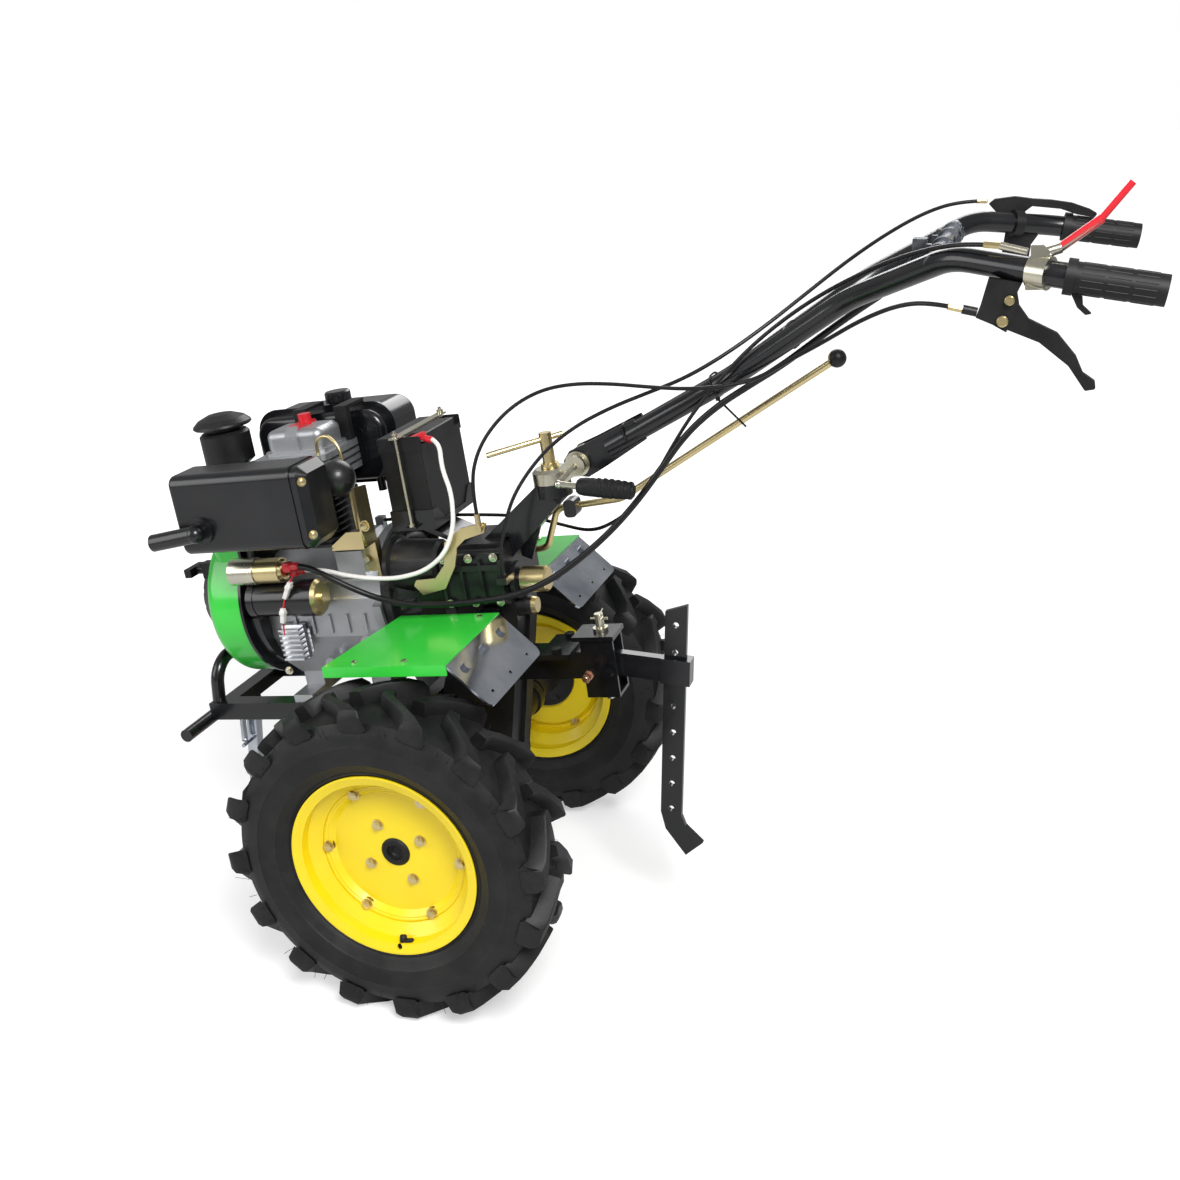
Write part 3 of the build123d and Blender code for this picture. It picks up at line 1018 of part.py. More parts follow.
hitch_hole = cyl_z(hitch_pin_x, 0, HITCH_BOTTOM - 5, HITCH_TOP + 12, HITCH_PIN_R + GAP)
hitch = hitch - hitch_hole
for sign in (1, -1):
    screw = cyl_y(HITCH_REAR + 14, 176, sign * 10, sign * 44, 6)
    hitch = hitch + screw + cyl_y(HITCH_REAR + 14, 176, sign * 36, sign * 46, 10)
nodes["hitch_box"] = level(hitch - gear_case)
drag_low = DRAG_Z - DRAG_HEIGHT / 2
drag_high = DRAG_Z + DRAG_HEIGHT / 2
drag = box(DRAG_REAR, DRAG_FRONT, -DRAG_HALF_Y, DRAG_HALF_Y, drag_low, drag_high)
drag = drag + box(DRAG_REAR, DRAG_REAR + 54, -15, 15, drag_low - 2, drag_high + 2)
drag = drag - box(STAKE_X - STAKE_WIDTH / 2 - GAP, STAKE_X + STAKE_WIDTH / 2 + GAP, -STAKE_T / 2 - GAP,
                  STAKE_T / 2 + GAP, DRAG_Z - 60, DRAG_Z + 60)
nodes["drag_bar"] = drag - level(hitch_hole) - nodes["hitch_box"]

pin = cyl_z(hitch_pin_x, 0, HITCH_BOTTOM - 12, HITCH_TOP + 40, HITCH_PIN_R)
pin = pin + cyl_z(hitch_pin_x, 0, HITCH_TOP + 7 + GAP, HITCH_TOP + 14, HITCH_PIN_R + 6)
pin = pin + rod((hitch_pin_x - 16, 0, HITCH_TOP + 30), (hitch_pin_x + 16, 0, HITCH_TOP + 30), 2.5)
nodes["hitch_pin"] = level(pin)

stake = profile_xz([
    (STAKE_X + STAKE_WIDTH / 2, STAKE_TOP - 8), (STAKE_X - STAKE_WIDTH / 2, STAKE_TOP + 8),
    (STAKE_X - STAKE_WIDTH / 2, STAKE_BEND_Z + 6), (STAKE_X - STAKE_WIDTH / 2 - 8, STAKE_BEND_Z - 14),
    (STAKE_X - 62, 178), (STAKE_X - 30, 146), (STAKE_X + STAKE_WIDTH / 2 - 10, STAKE_BEND_Z - 26),
    (STAKE_X + STAKE_WIDTH / 2, STAKE_BEND_Z + 10),
], -STAKE_T / 2, STAKE_T / 2)
for i in range(-STAKE_HOLES_ABOVE, STAKE_HOLES_BELOW + 1):
    if i != 0:
        stake = stake - cyl_y(STAKE_X, STAKE_BOLT_Z - i * STAKE_PITCH, -20, 20, STAKE_HOLE_R)
nodes["depth_stake"] = stake

# Gear shift rod with its knob
shift = pipe(rod_points, [18, 24, 60], ROD_R)
shift = shift + Pos(*rod_points[-1]) * Sphere(KNOB_R)
nodes["shift_rod"] = level(shift)


# Cables and leads, in the parked frame
CABLE_R = 3.2
LEAD_R = 4.0
clutch_route = [
    (-826, 292, 1226), (-790, 290, 1232), (-745, 262, 1224), (-690, 222, 1194), (-632, 170, 1150),
    (-575, 122, 1110), (-520, 84, 1070), (-462, 62, 1050), (-400, 62, 1042), (-340, 64, 1042),
    (-280, 68, 1044), (-220, 76, 1042), (-166, 84, 1030), (-118, 92, 1002), (-80, 100, 962),
    (-56, 109, 916), level_xyz(-138, 116, 556), level_xyz(-138, 116, 506 + GAP),
]
brake_route = [
    (-820, -296, 1314), (-780, -284, 1313), (-730, -250, 1298), (-676, -198, 1268), (-620, -136, 1228),
    (-566, -76, 1182), (-510, -22, 1134), (-452, 16, 1090), (-394, 40, 1054), (-334, 50, 1028),
    (-276, 58, 1002), (-220, 66, 970), (-172, 74, 930), (-136, 82, 884), (-110, 90, 836),
    (-97, 94, 782), level_xyz(CABLE_LUG_X, 95, 432), level_xyz(CABLE_LUG_X, 95, CABLE_LUG_Z + GAP),
]
throttle_route = [
    (-865, 290, 1308), (-825, 276, 1308), (-778, 240, 1296), (-726, 192, 1274), (-672, 142, 1244),
    (-616, 94, 1208), (-560, 62, 1166), (-504, 50, 1116), (-452, 48, 1056), (-410, 46, 998),
    (-376, 45, 938), (-346, 38, 880), (-312, 20, 828), (-266, -6, 784), (-214, -34, 752),
    level_xyz(-222, -60, 426), level_xyz(-168, -70, 440), level_xyz(-108, -76, 447),
    level_xyz(-48, -80, 450), level_xyz(8, -83, 452), level_xyz(62, -84, 452), level_xyz(112, -84, 450.5),
    level_xyz(150 - GAP, -84, THROTTLE_LUG_Z),
]
harness_route = [
    tuple(harness_start), tuple(harness_next), (-664, 62, 1180), (-610, 60, 1136),
    (-556, 56, 1090), (-502, 52, 1052), (-450, 52, 1014), (-404, 55, 968), (-366, 60, 910),
    (-330, 70, 854), (-288, 86, 800), (-238, 102, 750), (-184, 114, 706), (-124, 122, 676),
    (-60, 126, 660), (4, 132, 648), (68, 138, 642), (126, 144, 650), level_xyz(112, 156, 398),
    level_xyz(152, 164, 426), level_xyz(190, 158, 442), level_xyz(LUG_X - GAP, 158, 442.2),
]
battery_route = [
    level_xyz(BATTERY_REAR + 4 - GAP, bat_y1 - 16, bat_top - 9),
    level_xyz(BATTERY_REAR - 18, bat_y1 - 15, bat_top - 9.5),
    level_xyz(-66, 62, 616), (18, 84, 880),
    (-6, 102, 842), (-14, 116, 788), (0, 128, 740), (36, 136, 708), (84, 144, 692), (136, 149, 688),
    level_xyz(124, 146, 418), level_xyz(158, 142, 426), level_xyz(190, 140, 428),
    level_xyz(LUG_X - GAP, 140, 428.2),
]
for name, route, radius in (
    ("clutch_cable", clutch_route, CABLE_R), ("brake_cable", brake_route, CABLE_R),
    ("throttle_cable", throttle_route, CABLE_R), ("wire_harness", harness_route, HARNESS_R),
    ("battery_lead", battery_route, LEAD_R),
):
    nodes[name] = cable(route, radius, name)

# Write one file for each piece, with the machine's box centred over the origin
corners = [shape.bounding_box() for shape in nodes.values()]
x_low = min(c.min.X for c in corners)
x_high = max(c.max.X for c in corners)
AXLE_X = -(x_low + x_high) / 2
for name, shape in nodes.items():
    export_step(Pos(AXLE_X, 0, 0) * shape, "parts/" + name + ".step")
print("axle_x", round(AXLE_X, 3), "length", round(x_high - x_low, 1), "pieces", len(nodes))
for label, point in (("stand", (px, pz)), ("tilt", (tilt_x, tilt_z)),
                     ("swivel", level_point(SWIVEL_X, SWIVEL_Z))):
    print(label, round(point[0] + AXLE_X, 3), round(point[1], 3))
print("spring_top", round(spring_high, 3), "stake_x", round(STAKE_X + AXLE_X, 3))
print("spring_x", round(spring_x + AXLE_X, 3), "spring_low", round(spring_low, 3))
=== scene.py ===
"""Looks of a two-wheel walking tractor with an air-cooled diesel engine, built round its CAD frame."""

from __future__ import annotations

import logging
import math
import random
from dataclasses import dataclass, field
from enum import Enum
from typing import Callable, Sequence

import bmesh
import bpy
from mathutils import Matrix, Vector

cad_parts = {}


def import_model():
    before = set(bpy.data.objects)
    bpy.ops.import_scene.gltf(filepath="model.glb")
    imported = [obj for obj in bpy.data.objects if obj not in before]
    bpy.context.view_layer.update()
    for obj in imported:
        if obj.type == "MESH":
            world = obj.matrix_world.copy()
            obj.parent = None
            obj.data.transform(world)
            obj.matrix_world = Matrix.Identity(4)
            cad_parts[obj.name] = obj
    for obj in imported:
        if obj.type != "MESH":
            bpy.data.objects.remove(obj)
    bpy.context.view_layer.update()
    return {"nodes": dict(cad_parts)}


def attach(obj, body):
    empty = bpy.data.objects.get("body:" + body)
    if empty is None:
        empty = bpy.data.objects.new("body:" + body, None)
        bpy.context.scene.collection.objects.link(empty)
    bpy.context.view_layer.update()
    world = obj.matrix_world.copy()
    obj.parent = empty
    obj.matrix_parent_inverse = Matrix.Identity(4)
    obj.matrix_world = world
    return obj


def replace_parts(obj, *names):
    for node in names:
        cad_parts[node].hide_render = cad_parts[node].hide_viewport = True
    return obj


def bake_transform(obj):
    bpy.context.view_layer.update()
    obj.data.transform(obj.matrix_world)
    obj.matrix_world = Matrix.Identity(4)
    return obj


LOG = logging.getLogger("walking_tractor")
MM = 0.001
AXLE_X = 249.932
AXLE_Z = 294.0
LEAN = math.radians(9.0)
FULL_TURN = 2 * math.pi
Point = tuple[float, float, float]
Colour = tuple[float, float, float]
Fill = Callable[[bmesh.types.BMesh], None]


class Body(Enum):
    """The rigid bodies of the machine."""

    CHASSIS = "chassis"
    WHEEL_LEFT = "wheel_left"
    WHEEL_RIGHT = "wheel_right"
    STAND = "stand"
    SWIVEL = "swivel"
    HANDLEBAR = "handlebar"


class Slot(Enum):
    """The record's material slots; each fitting names one, but no piece is given it."""

    TYRE = "tyre"
    ZINC = "zinc"
    PLASTIC = "black_plastic"
    RUBBER = "rubber"
    GOLD = "gold_zinc"


def parked(x: float, y: float, z: float) -> Vector:
    """A point of the parked machine, in millimetres from under the axle, as metres in the row frame."""
    return Vector(((x + AXLE_X) * MM, y * MM, z * MM))


def level_aim(x: float, y: float, z: float) -> Vector:
    """A direction drawn on the level chassis, as it stands when parked."""
    return Vector((x * math.cos(LEAN) + z * math.sin(LEAN), y, z * math.cos(LEAN) - x * math.sin(LEAN)))


def at_level(x: float, y: float, z: float) -> Point:
    """A point drawn on the level chassis, in millimetres on the parked machine."""
    return tuple(level_aim(x, y, z) + Vector((0, 0, AXLE_Z)))


def level(x: float, y: float, z: float) -> Vector:
    """A point drawn on the level chassis, in metres in the row frame."""
    return parked(*at_level(x, y, z))


def to_level(p: Vector) -> Vector:
    """A point of the parked machine, in millimetres, back on the level chassis.

    Args:
        p: The point.

    Returns:
        Where the level chassis has it, in millimetres.
    """
    dz = p.z - AXLE_Z
    sine, cosine = math.sin(LEAN), math.cos(LEAN)
    return Vector((p.x * cosine - dz * sine, p.y, dz * cosine + p.x * sine))


def link_object(name: str, data: bpy.types.ID | None) -> bpy.types.Object:
    """Make an object with that data in the scene's collection.

    Args:
        name: The object's name.
        data: What it holds.

    Returns:
        The object.
    """
    made = bpy.data.objects.new(name, data)
    bpy.context.scene.collection.objects.link(made)
    return made


# Node trees


class TreeBuilder:
    """Builds one node tree with named sockets."""

    def __init__(self, name: str, kind: str) -> None:
        """Start an empty tree.

        Args:
            name: The tree's name.
            kind: Blender's type of the tree.
        """
        self.tree = bpy.data.node_groups.new(name, kind)
        self.entry = self.tree.nodes.new("NodeGroupInput")
        self.exit = self.tree.nodes.new("NodeGroupOutput")

    def inlet(self, name: str, kind: str, value: float | Sequence[float] | None = None) -> None:
        """Add an input socket.

        Args:
            name: The socket's name.
            kind: Its type.
            value: Its default value.
        """
        socket = self.tree.interface.new_socket(name, in_out="INPUT", socket_type=kind)
        if value is not None:
            socket.default_value = value

    def outlet(self, name: str, kind: str) -> None:
        """Add an output socket."""
        self.tree.interface.new_socket(name, in_out="OUTPUT", socket_type=kind)

    def node(self, kind: str, values: dict[str | int, object] | None = None, **settings: object) -> bpy.types.Node:
        """Add a node.

        Args:
            kind: Blender's type of the node.
            values: Default values of its inputs.
            settings: Its properties.

        Returns:
            The node.
        """
        made = self.tree.nodes.new(kind)
        for key, value in settings.items():
            setattr(made, key, value)
        for key, value in (values or {}).items():
            made.inputs[key].default_value = value
        return made

    def link(self, start: bpy.types.NodeSocket, end: bpy.types.NodeSocket) -> None:
        """Join two sockets."""
        self.tree.links.new(start, end)


def build_dust() -> bpy.types.NodeTree:
    """Dry dust that settles on upward faces and in patches.

    Returns:
        A group that mixes dust over a colour and raises its roughness.
    """
    g = TreeBuilder("Settled dust", "ShaderNodeTree")
    g.inlet("Vector", "NodeSocketVector")
    g.inlet("Colour", "NodeSocketColor", (0.5, 0.5, 0.5, 1))
    g.inlet("Dust Colour", "NodeSocketColor", (0.34, 0.33, 0.31, 1))
    g.inlet("Amount", "NodeSocketFloat", 0.1)
    g.inlet("Scale", "NodeSocketFloat", 14.0)
    g.inlet("Roughness", "NodeSocketFloat", 0.4)
    g.inlet("Spread", "NodeSocketFloat", 0.1)
    g.outlet("Colour", "NodeSocketColor")
    g.outlet("Roughness", "NodeSocketFloat")
    patches = g.node("ShaderNodeTexNoise", {"Detail": 6, "Roughness": 0.62})
    g.link(g.entry.outputs["Vector"], patches.inputs["Vector"])
    g.link(g.entry.outputs["Scale"], patches.inputs["Scale"])
    where = g.node("ShaderNodeMapRange", {"From Min": 0.42, "From Max": 0.72})
    g.link(patches.outputs["Fac"], where.inputs["Value"])
    facing = g.node("ShaderNodeNewGeometry")
    split = g.node("ShaderNodeSeparateXYZ")
    g.link(facing.outputs["Normal"], split.inputs["Vector"])
    upward = g.node("ShaderNodeMapRange", {"From Min": -0.6, "From Max": 1.0, "To Min": 0.25})
    g.link(split.outputs["Z"], upward.inputs["Value"])
    both = g.node("ShaderNodeMath", operation="MULTIPLY")
    g.link(where.outputs["Result"], both.inputs[0])
    g.link(upward.outputs["Result"], both.inputs[1])
    share = g.node("ShaderNodeMath", operation="MULTIPLY", use_clamp=True)
    g.link(both.outputs[0], share.inputs[0])
    g.link(g.entry.outputs["Amount"], share.inputs[1])
    mix = g.node("ShaderNodeMix", data_type="RGBA")
    g.link(share.outputs[0], mix.inputs["Factor"])
    g.link(g.entry.outputs["Colour"], mix.inputs["A"])
    g.link(g.entry.outputs["Dust Colour"], mix.inputs["B"])
    g.link(mix.outputs["Result"], g.exit.inputs["Colour"])
    vary = g.node("ShaderNodeMath", operation="MULTIPLY_ADD")
    g.link(patches.outputs["Fac"], vary.inputs[0])
    g.link(g.entry.outputs["Spread"], vary.inputs[1])
    g.link(g.entry.outputs["Roughness"], vary.inputs[2])
    dull = g.node("ShaderNodeMath", {1: 0.5}, operation="MULTIPLY_ADD", use_clamp=True)
    g.link(share.outputs[0], dull.inputs[0])
    g.link(vary.outputs[0], dull.inputs[2])
    g.link(dull.outputs[0], g.exit.inputs["Roughness"])
    return g.tree


def build_grain() -> bpy.types.NodeTree:
    """Fine surface grain: cast pits, moulded texture or the slight ripple of sprayed paint.

    Returns:
        A group that puts out a height.
    """
    g = TreeBuilder("Surface grain", "ShaderNodeTree")
    g.inlet("Vector", "NodeSocketVector")
    g.inlet("Scale", "NodeSocketFloat", 400.0)
    g.inlet("Pits", "NodeSocketFloat", 0.3)
    g.outlet("Height", "NodeSocketFloat")
    ripple = g.node("ShaderNodeTexNoise", {"Detail": 3})
    pits = g.node("ShaderNodeTexVoronoi", feature="F1")
    for texture in (ripple, pits):
        g.link(g.entry.outputs["Vector"], texture.inputs["Vector"])
        g.link(g.entry.outputs["Scale"], texture.inputs["Scale"])
    mix = g.node("ShaderNodeMix", data_type="FLOAT")
    g.link(g.entry.outputs["Pits"], mix.inputs["Factor"])
    g.link(ripple.outputs["Fac"], mix.inputs["A"])
    g.link(pits.outputs["Distance"], mix.inputs["B"])
    g.link(mix.outputs["Result"], g.exit.inputs["Height"])
    return g.tree


def build_mottle() -> bpy.types.NodeTree:
    """Slow drift between two shades of one finish.

    Returns:
        A group that puts out a colour.
    """
    g = TreeBuilder("Shade drift", "ShaderNodeTree")
    g.inlet("Vector", "NodeSocketVector")
    g.inlet("Scale", "NodeSocketFloat", 9.0)
    g.inlet("Shade A", "NodeSocketColor", (0.5, 0.5, 0.5, 1))
    g.inlet("Shade B", "NodeSocketColor", (0.4, 0.4, 0.4, 1))
    g.outlet("Colour", "NodeSocketColor")
    drift = g.node("ShaderNodeTexNoise", {"Detail": 4})
    g.link(g.entry.outputs["Vector"], drift.inputs["Vector"])
    g.link(g.entry.outputs["Scale"], drift.inputs["Scale"])
    curve = g.node("ShaderNodeMapRange", {"From Min": 0.3, "From Max": 0.7})
    g.link(drift.outputs["Fac"], curve.inputs["Value"])
    mix = g.node("ShaderNodeMix", data_type="RGBA")
    g.link(curve.outputs["Result"], mix.inputs["Factor"])
    g.link(g.entry.outputs["Shade A"], mix.inputs["A"])
    g.link(g.entry.outputs["Shade B"], mix.inputs["B"])
    g.link(mix.outputs["Result"], g.exit.inputs["Colour"])
    return g.tree


COAT_ROUGHNESS = 0.12
ROUGH_SPREAD = 0.1


def set_inputs(node: bpy.types.Node, values: dict[str, object]) -> None:
    """Set the default values of a node's inputs."""
    for name, value in values.items():
        node.inputs[name].default_value = value


@dataclass(frozen=True)
class Finish:
    """One finish of the machine: colour, gloss, grain and dust.

    Attributes:
        name: The material's name.
        shade: Main colour, linear.
        drift: Second shade that it drifts to.
        rough: Roughness of the clean surface.
        metallic: 1 for bare or plated metal.
        specular: Strength of the mirror reflection of a non-metal.
        coat: Weight of a clear coat.
        grain: Scale of the surface grain, in waves per metre.
        depth: Bump strength of that grain.
        pits: 0 for ripple, 1 for pits.
        dust: How much dust lies on it.
    """

    name: str
    shade: Colour
    drift: Colour
    rough: float
    metallic: float = 0.0
    specular: float = 0.5
    coat: float = 0.0
    grain: float = 300.0
    depth: float = 0.04
    pits: float = 0.3
    dust: float = 0.02

    def build(self, groups: dict[str, bpy.types.NodeTree]) -> bpy.types.Material:
        """Make the Blender material.

        Args:
            groups: The shared shader groups by name.

        Returns:
            The finished material.
        """
        material = bpy.data.materials.new(self.name)
        material.use_nodes = True
        tree = material.node_tree
        shader = tree.nodes["Principled BSDF"]
        set_inputs(shader, {
            "Metallic": self.metallic, "Specular IOR Level": self.specular, "Coat Weight": self.coat,
            "Coat Roughness": COAT_ROUGHNESS})
        place = tree.nodes.new("ShaderNodeTexCoord")
        shares = {
            "mottle": {"Shade A": (*self.shade, 1), "Shade B": (*self.drift, 1)},
            "dust": {"Amount": self.dust, "Roughness": self.rough - ROUGH_SPREAD / 2, "Spread": ROUGH_SPREAD},
            "grain": {"Scale": self.grain, "Pits": self.pits}}
        made = {}
        for key, values in shares.items():
            made[key] = tree.nodes.new("ShaderNodeGroup")
            made[key].node_tree = groups[key]
            set_inputs(made[key], values)
            tree.links.new(place.outputs["Object"], made[key].inputs["Vector"])
        bump = tree.nodes.new("ShaderNodeBump")
        set_inputs(bump, {"Strength": self.depth, "Distance": MM})
        tree.links.new(made["mottle"].outputs["Colour"], made["dust"].inputs["Colour"])
        tree.links.new(made["dust"].outputs["Colour"], shader.inputs["Base Color"])
        tree.links.new(made["dust"].outputs["Roughness"], shader.inputs["Roughness"])
        tree.links.new(made["grain"].outputs["Height"], bump.inputs["Height"])
        tree.links.new(bump.outputs["Normal"], shader.inputs["Normal"])
        return material


FINISHES = (
    Finish("Tyre rubber", (0.0045, 0.0047, 0.0052), (0.009, 0.0092, 0.010), 0.50, specular=0.3,
           grain=260, depth=0.25, dust=0.05),
    Finish("Yellow rim paint", (0.86, 0.66, 0.003), (0.80, 0.61, 0.003), 0.36, coat=0.3, grain=120, depth=0.02),
    Finish("Green paint", (0.030, 0.60, 0.045), (0.026, 0.52, 0.038), 0.30, coat=0.5, grain=150, depth=0.02),
    Finish("Black paint", (0.0035, 0.0038, 0.0048), (0.006, 0.0064, 0.008), 0.24, specular=0.4, coat=0.3,
           grain=180, depth=0.03),
    Finish("Muffler enamel", (0.0035, 0.0038, 0.0048), (0.006, 0.0064, 0.008), 0.30, specular=0.4, coat=0.3,
           grain=220, depth=0.06),
    Finish("Black plastic", (0.004, 0.004, 0.0046), (0.007, 0.007, 0.008), 0.40, specular=0.35, grain=900,
           depth=0.12, pits=0.7, dust=0.04),
    Finish("Black rubber", (0.0045, 0.0045, 0.005), (0.008, 0.008, 0.009), 0.52, specular=0.3, grain=600,
           depth=0.12, dust=0.03),
    Finish("Cable sheath", (0.0035, 0.0035, 0.004), (0.006, 0.006, 0.007), 0.36, specular=0.35,
           grain=500, depth=0.03),
    Finish("Cast aluminium", (0.48, 0.49, 0.50), (0.34, 0.35, 0.37), 0.42, metallic=0.9, grain=700, depth=0.35,
           pits=0.6, dust=0.05),
    Finish("Machined aluminium", (0.76, 0.77, 0.79), (0.62, 0.63, 0.66), 0.28, metallic=1.0,
           grain=500, depth=0.06),
    Finish("Zinc plating", (0.70, 0.66, 0.50), (0.58, 0.56, 0.48), 0.26, metallic=1.0, grain=240, depth=0.05),
    Finish("Bright plate", (0.62, 0.65, 0.70), (0.30, 0.33, 0.38), 0.14, metallic=1.0, grain=26, depth=0.10),
    Finish("Yellow chromate", (0.78, 0.64, 0.32), (0.60, 0.50, 0.28), 0.30, metallic=1.0, grain=260, depth=0.05),
    Finish("Black casting", (0.004, 0.0044, 0.005), (0.010, 0.010, 0.011), 0.34, specular=0.4, coat=0.15,
           grain=420, depth=0.22, pits=0.5, dust=0.05),
    Finish("Red plastic", (0.62, 0.010, 0.022), (0.52, 0.009, 0.018), 0.33, coat=0.2, grain=300, depth=0.03),
    Finish("White sheath", (0.78, 0.76, 0.74), (0.70, 0.67, 0.64), 0.40, grain=300, depth=0.03),
    Finish("Copper plating", (0.72, 0.40, 0.26), (0.60, 0.34, 0.22), 0.30, metallic=1.0, grain=260, depth=0.05),
)


class Palette:
    """Every finish of the machine, built once."""

    def __init__(self) -> None:
        """Build the shared groups and the materials."""
        groups = {"dust": build_dust(), "grain": build_grain(), "mottle": build_mottle()}
        self._made = {finish.name: finish.build(groups) for finish in FINISHES}

    def __getitem__(self, name: str) -> bpy.types.Material:
        """The material of that name."""
        return self._made[name]


# Geometry Nodes


class GeometryTree(TreeBuilder):
    """Builds one Geometry Nodes tree, which ends in Realize Instances and Set Material."""

    def __init__(self, name: str, material: bpy.types.Material) -> None:
        """Start a tree.

        Args:
            name: The tree's name.
            material: What its Set Material gives.
        """
        super().__init__(name, "GeometryNodeTree")
        self.inlet("Geometry", "NodeSocketGeometry")
        self.outlet("Geometry", "NodeSocketGeometry")
        self.material = material

    def close(self, geometry: bpy.types.NodeSocket) -> bpy.types.NodeTree:
        """Finish the tree with Realize Instances and Set Material.

        Args:
            geometry: The socket that gives its geometry.

        Returns:
            The finished tree.
        """
        real = self.node("GeometryNodeRealizeInstances")
        dress = self.node("GeometryNodeSetMaterial", {"Material": self.material})
        self.link(geometry, real.inputs["Geometry"])
        self.link(real.outputs["Geometry"], dress.inputs["Geometry"])
        self.link(dress.outputs["Geometry"], self.exit.inputs["Geometry"])
        return self.tree


def run_tree(name: str, mesh: bpy.types.Mesh, tree: bpy.types.NodeTree,
             sizes: dict[str, float | int]) -> bpy.types.Object:
    """Run a Geometry Nodes tree on a mesh and keep its result as a plain mesh.

    Args:
        name: The new piece's name.
        mesh: The mesh that the tree starts from.
        tree: The tree.
        sizes: Values for its named inputs.

    Returns:
        An object at the origin that holds the result.
    """
    source = link_object(name + ".source", mesh)
    modifier = source.modifiers.new("nodes", "NODES")
    modifier.node_group = tree
    for item in tree.interface.items_tree:
        if item.item_type == "SOCKET" and item.in_out == "INPUT" and item.name in sizes:
            modifier[item.identifier] = sizes[item.name]
    bpy.context.view_layer.update()
    evaluated = source.evaluated_get(bpy.context.evaluated_depsgraph_get())
    result = bpy.data.meshes.new_from_object(evaluated)
    bpy.data.objects.remove(source)
    return link_object(name, result)


# Mesh helpers


def new_piece(name: str, mesh: bpy.types.Mesh, material: bpy.types.Material, body: Body) -> bpy.types.Object:
    """Link a mesh as a piece that rides on a body.

    Args:
        name: The piece's name.
        mesh: Its mesh, in the row frame.
        material: Its finish.
        body: What it rides on.

    Returns:
        The piece.
    """
    mesh.materials.append(material)
    return mount(link_object(name, mesh), body)


def mount(piece: bpy.types.Object, body: Body) -> bpy.types.Object:
    """Put a piece on its body.

    Args:
        piece: The piece.
        body: What it rides on.

    Returns:
        The same piece.
    """
    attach(piece, body.value)
    LOG.info("piece %s on %s, %d faces", piece.name, body.value, len(piece.data.polygons))
    return piece


def mesh_of(bm: bmesh.types.BMesh, name: str, degrees: float | None = 35.0) -> bpy.types.Mesh:
    """Turn a bmesh into a smooth mesh with outward faces.

    Args:
        bm: The bmesh, which is freed.
        name: The mesh's name.
        degrees: Edges bent more than this are sharp, or None to leave them smooth.

    Returns:
        The mesh.
    """
    bmesh.ops.recalc_face_normals(bm, faces=bm.faces)
    for face in bm.faces:
        face.smooth = True
    mesh = bpy.data.meshes.new(name)
    bm.to_mesh(mesh)
    bm.free()
    if degrees is not None:
        sharpen(mesh, degrees)
    return mesh


def sharpen(mesh: bpy.types.Mesh, degrees: float) -> None:
    """Mark the mesh's hard edges sharp, so that smooth faces keep them."""
    mesh.set_sharp_from_angle(angle=math.radians(degrees))


def frame_along(direction: Vector) -> Matrix:
    """A turn that takes +Z to a direction."""
    return direction.to_track_quat("Z", "Y").to_matrix().to_4x4()


def add_ring(bm: bmesh.types.BMesh, turn: Matrix, radius: float, height: float, sides: int) -> list:
    """Add a ring of points about the turned Z axis.

    Args:
        bm: The bmesh.
        turn: Where the axis lies.
        radius: The ring's radius, in metres.
        height: Its place on the axis, in metres.
        sides: Points on it.

    Returns:
        The ring's points.
    """
    angles = (FULL_TURN * i / sides for i in range(sides))
    return [bm.verts.new(turn @ Vector((radius * math.cos(a), radius * math.sin(a), height))) for a in angles]


def add_skin(bm: bmesh.types.BMesh, rings: Sequence[list]) -> None:
    """Join rings of equal length into a tube with flat ends.

    Args:
        bm: The bmesh.
        rings: The rings, in order along the tube.
    """
    sides = len(rings[0])
    for low, high in zip(rings, rings[1:]):
        for i in range(sides):
            j = (i + 1) % sides
            bm.faces.new((low[i], low[j], high[j], high[i]))
    bm.faces.new(list(reversed(rings[0])))
    bm.faces.new(rings[-1])


def add_rod(bm: bmesh.types.BMesh, start: Vector, end: Vector, radius: float, sides: int = 16) -> None:
    """Add a round bar with softened ends to a bmesh.

    Args:
        bm: The bmesh.
        start: One end, in metres.
        end: The other end.
        radius: Its radius, in metres.
        sides: Faces round it.
    """
    length = (end - start).length
    soft = min(radius * 0.3, length * 0.2)
    turn = Matrix.Translation(start) @ frame_along(end - start)
    stations = ((0, radius - soft), (soft, radius), (length - soft, radius), (length, radius - soft))
    add_skin(bm, [add_ring(bm, turn, r, height, sides) for height, r in stations])


def add_block(bm: bmesh.types.BMesh, centre: Vector, size: Point, turn: Matrix | None = None,
              soft: float = MM) -> None:
    """Add a block with bevelled edges.

    Args:
        bm: The bmesh.
        centre: Its centre, in metres.
        size: Its three sizes, in metres.
        turn: Its turn.
        soft: Width of the bevel.
    """
    verts = bmesh.ops.create_cube(bm, size=1.0)["verts"]
    bmesh.ops.scale(bm, vec=size, verts=verts)
    edges = list({edge for vert in verts for edge in vert.link_edges})
    bevelled = bmesh.ops.bevel(bm, geom=edges, offset=soft, segments=2, affect="EDGES", profile=0.6)
    kept = {vert for vert in verts if vert.is_valid}
    kept.update(vert for face in bevelled["faces"] for vert in face.verts)
    place = Matrix.Translation(centre) @ (turn if turn is not None else Matrix.Identity(4))
    bmesh.ops.transform(bm, matrix=place, verts=list(kept))


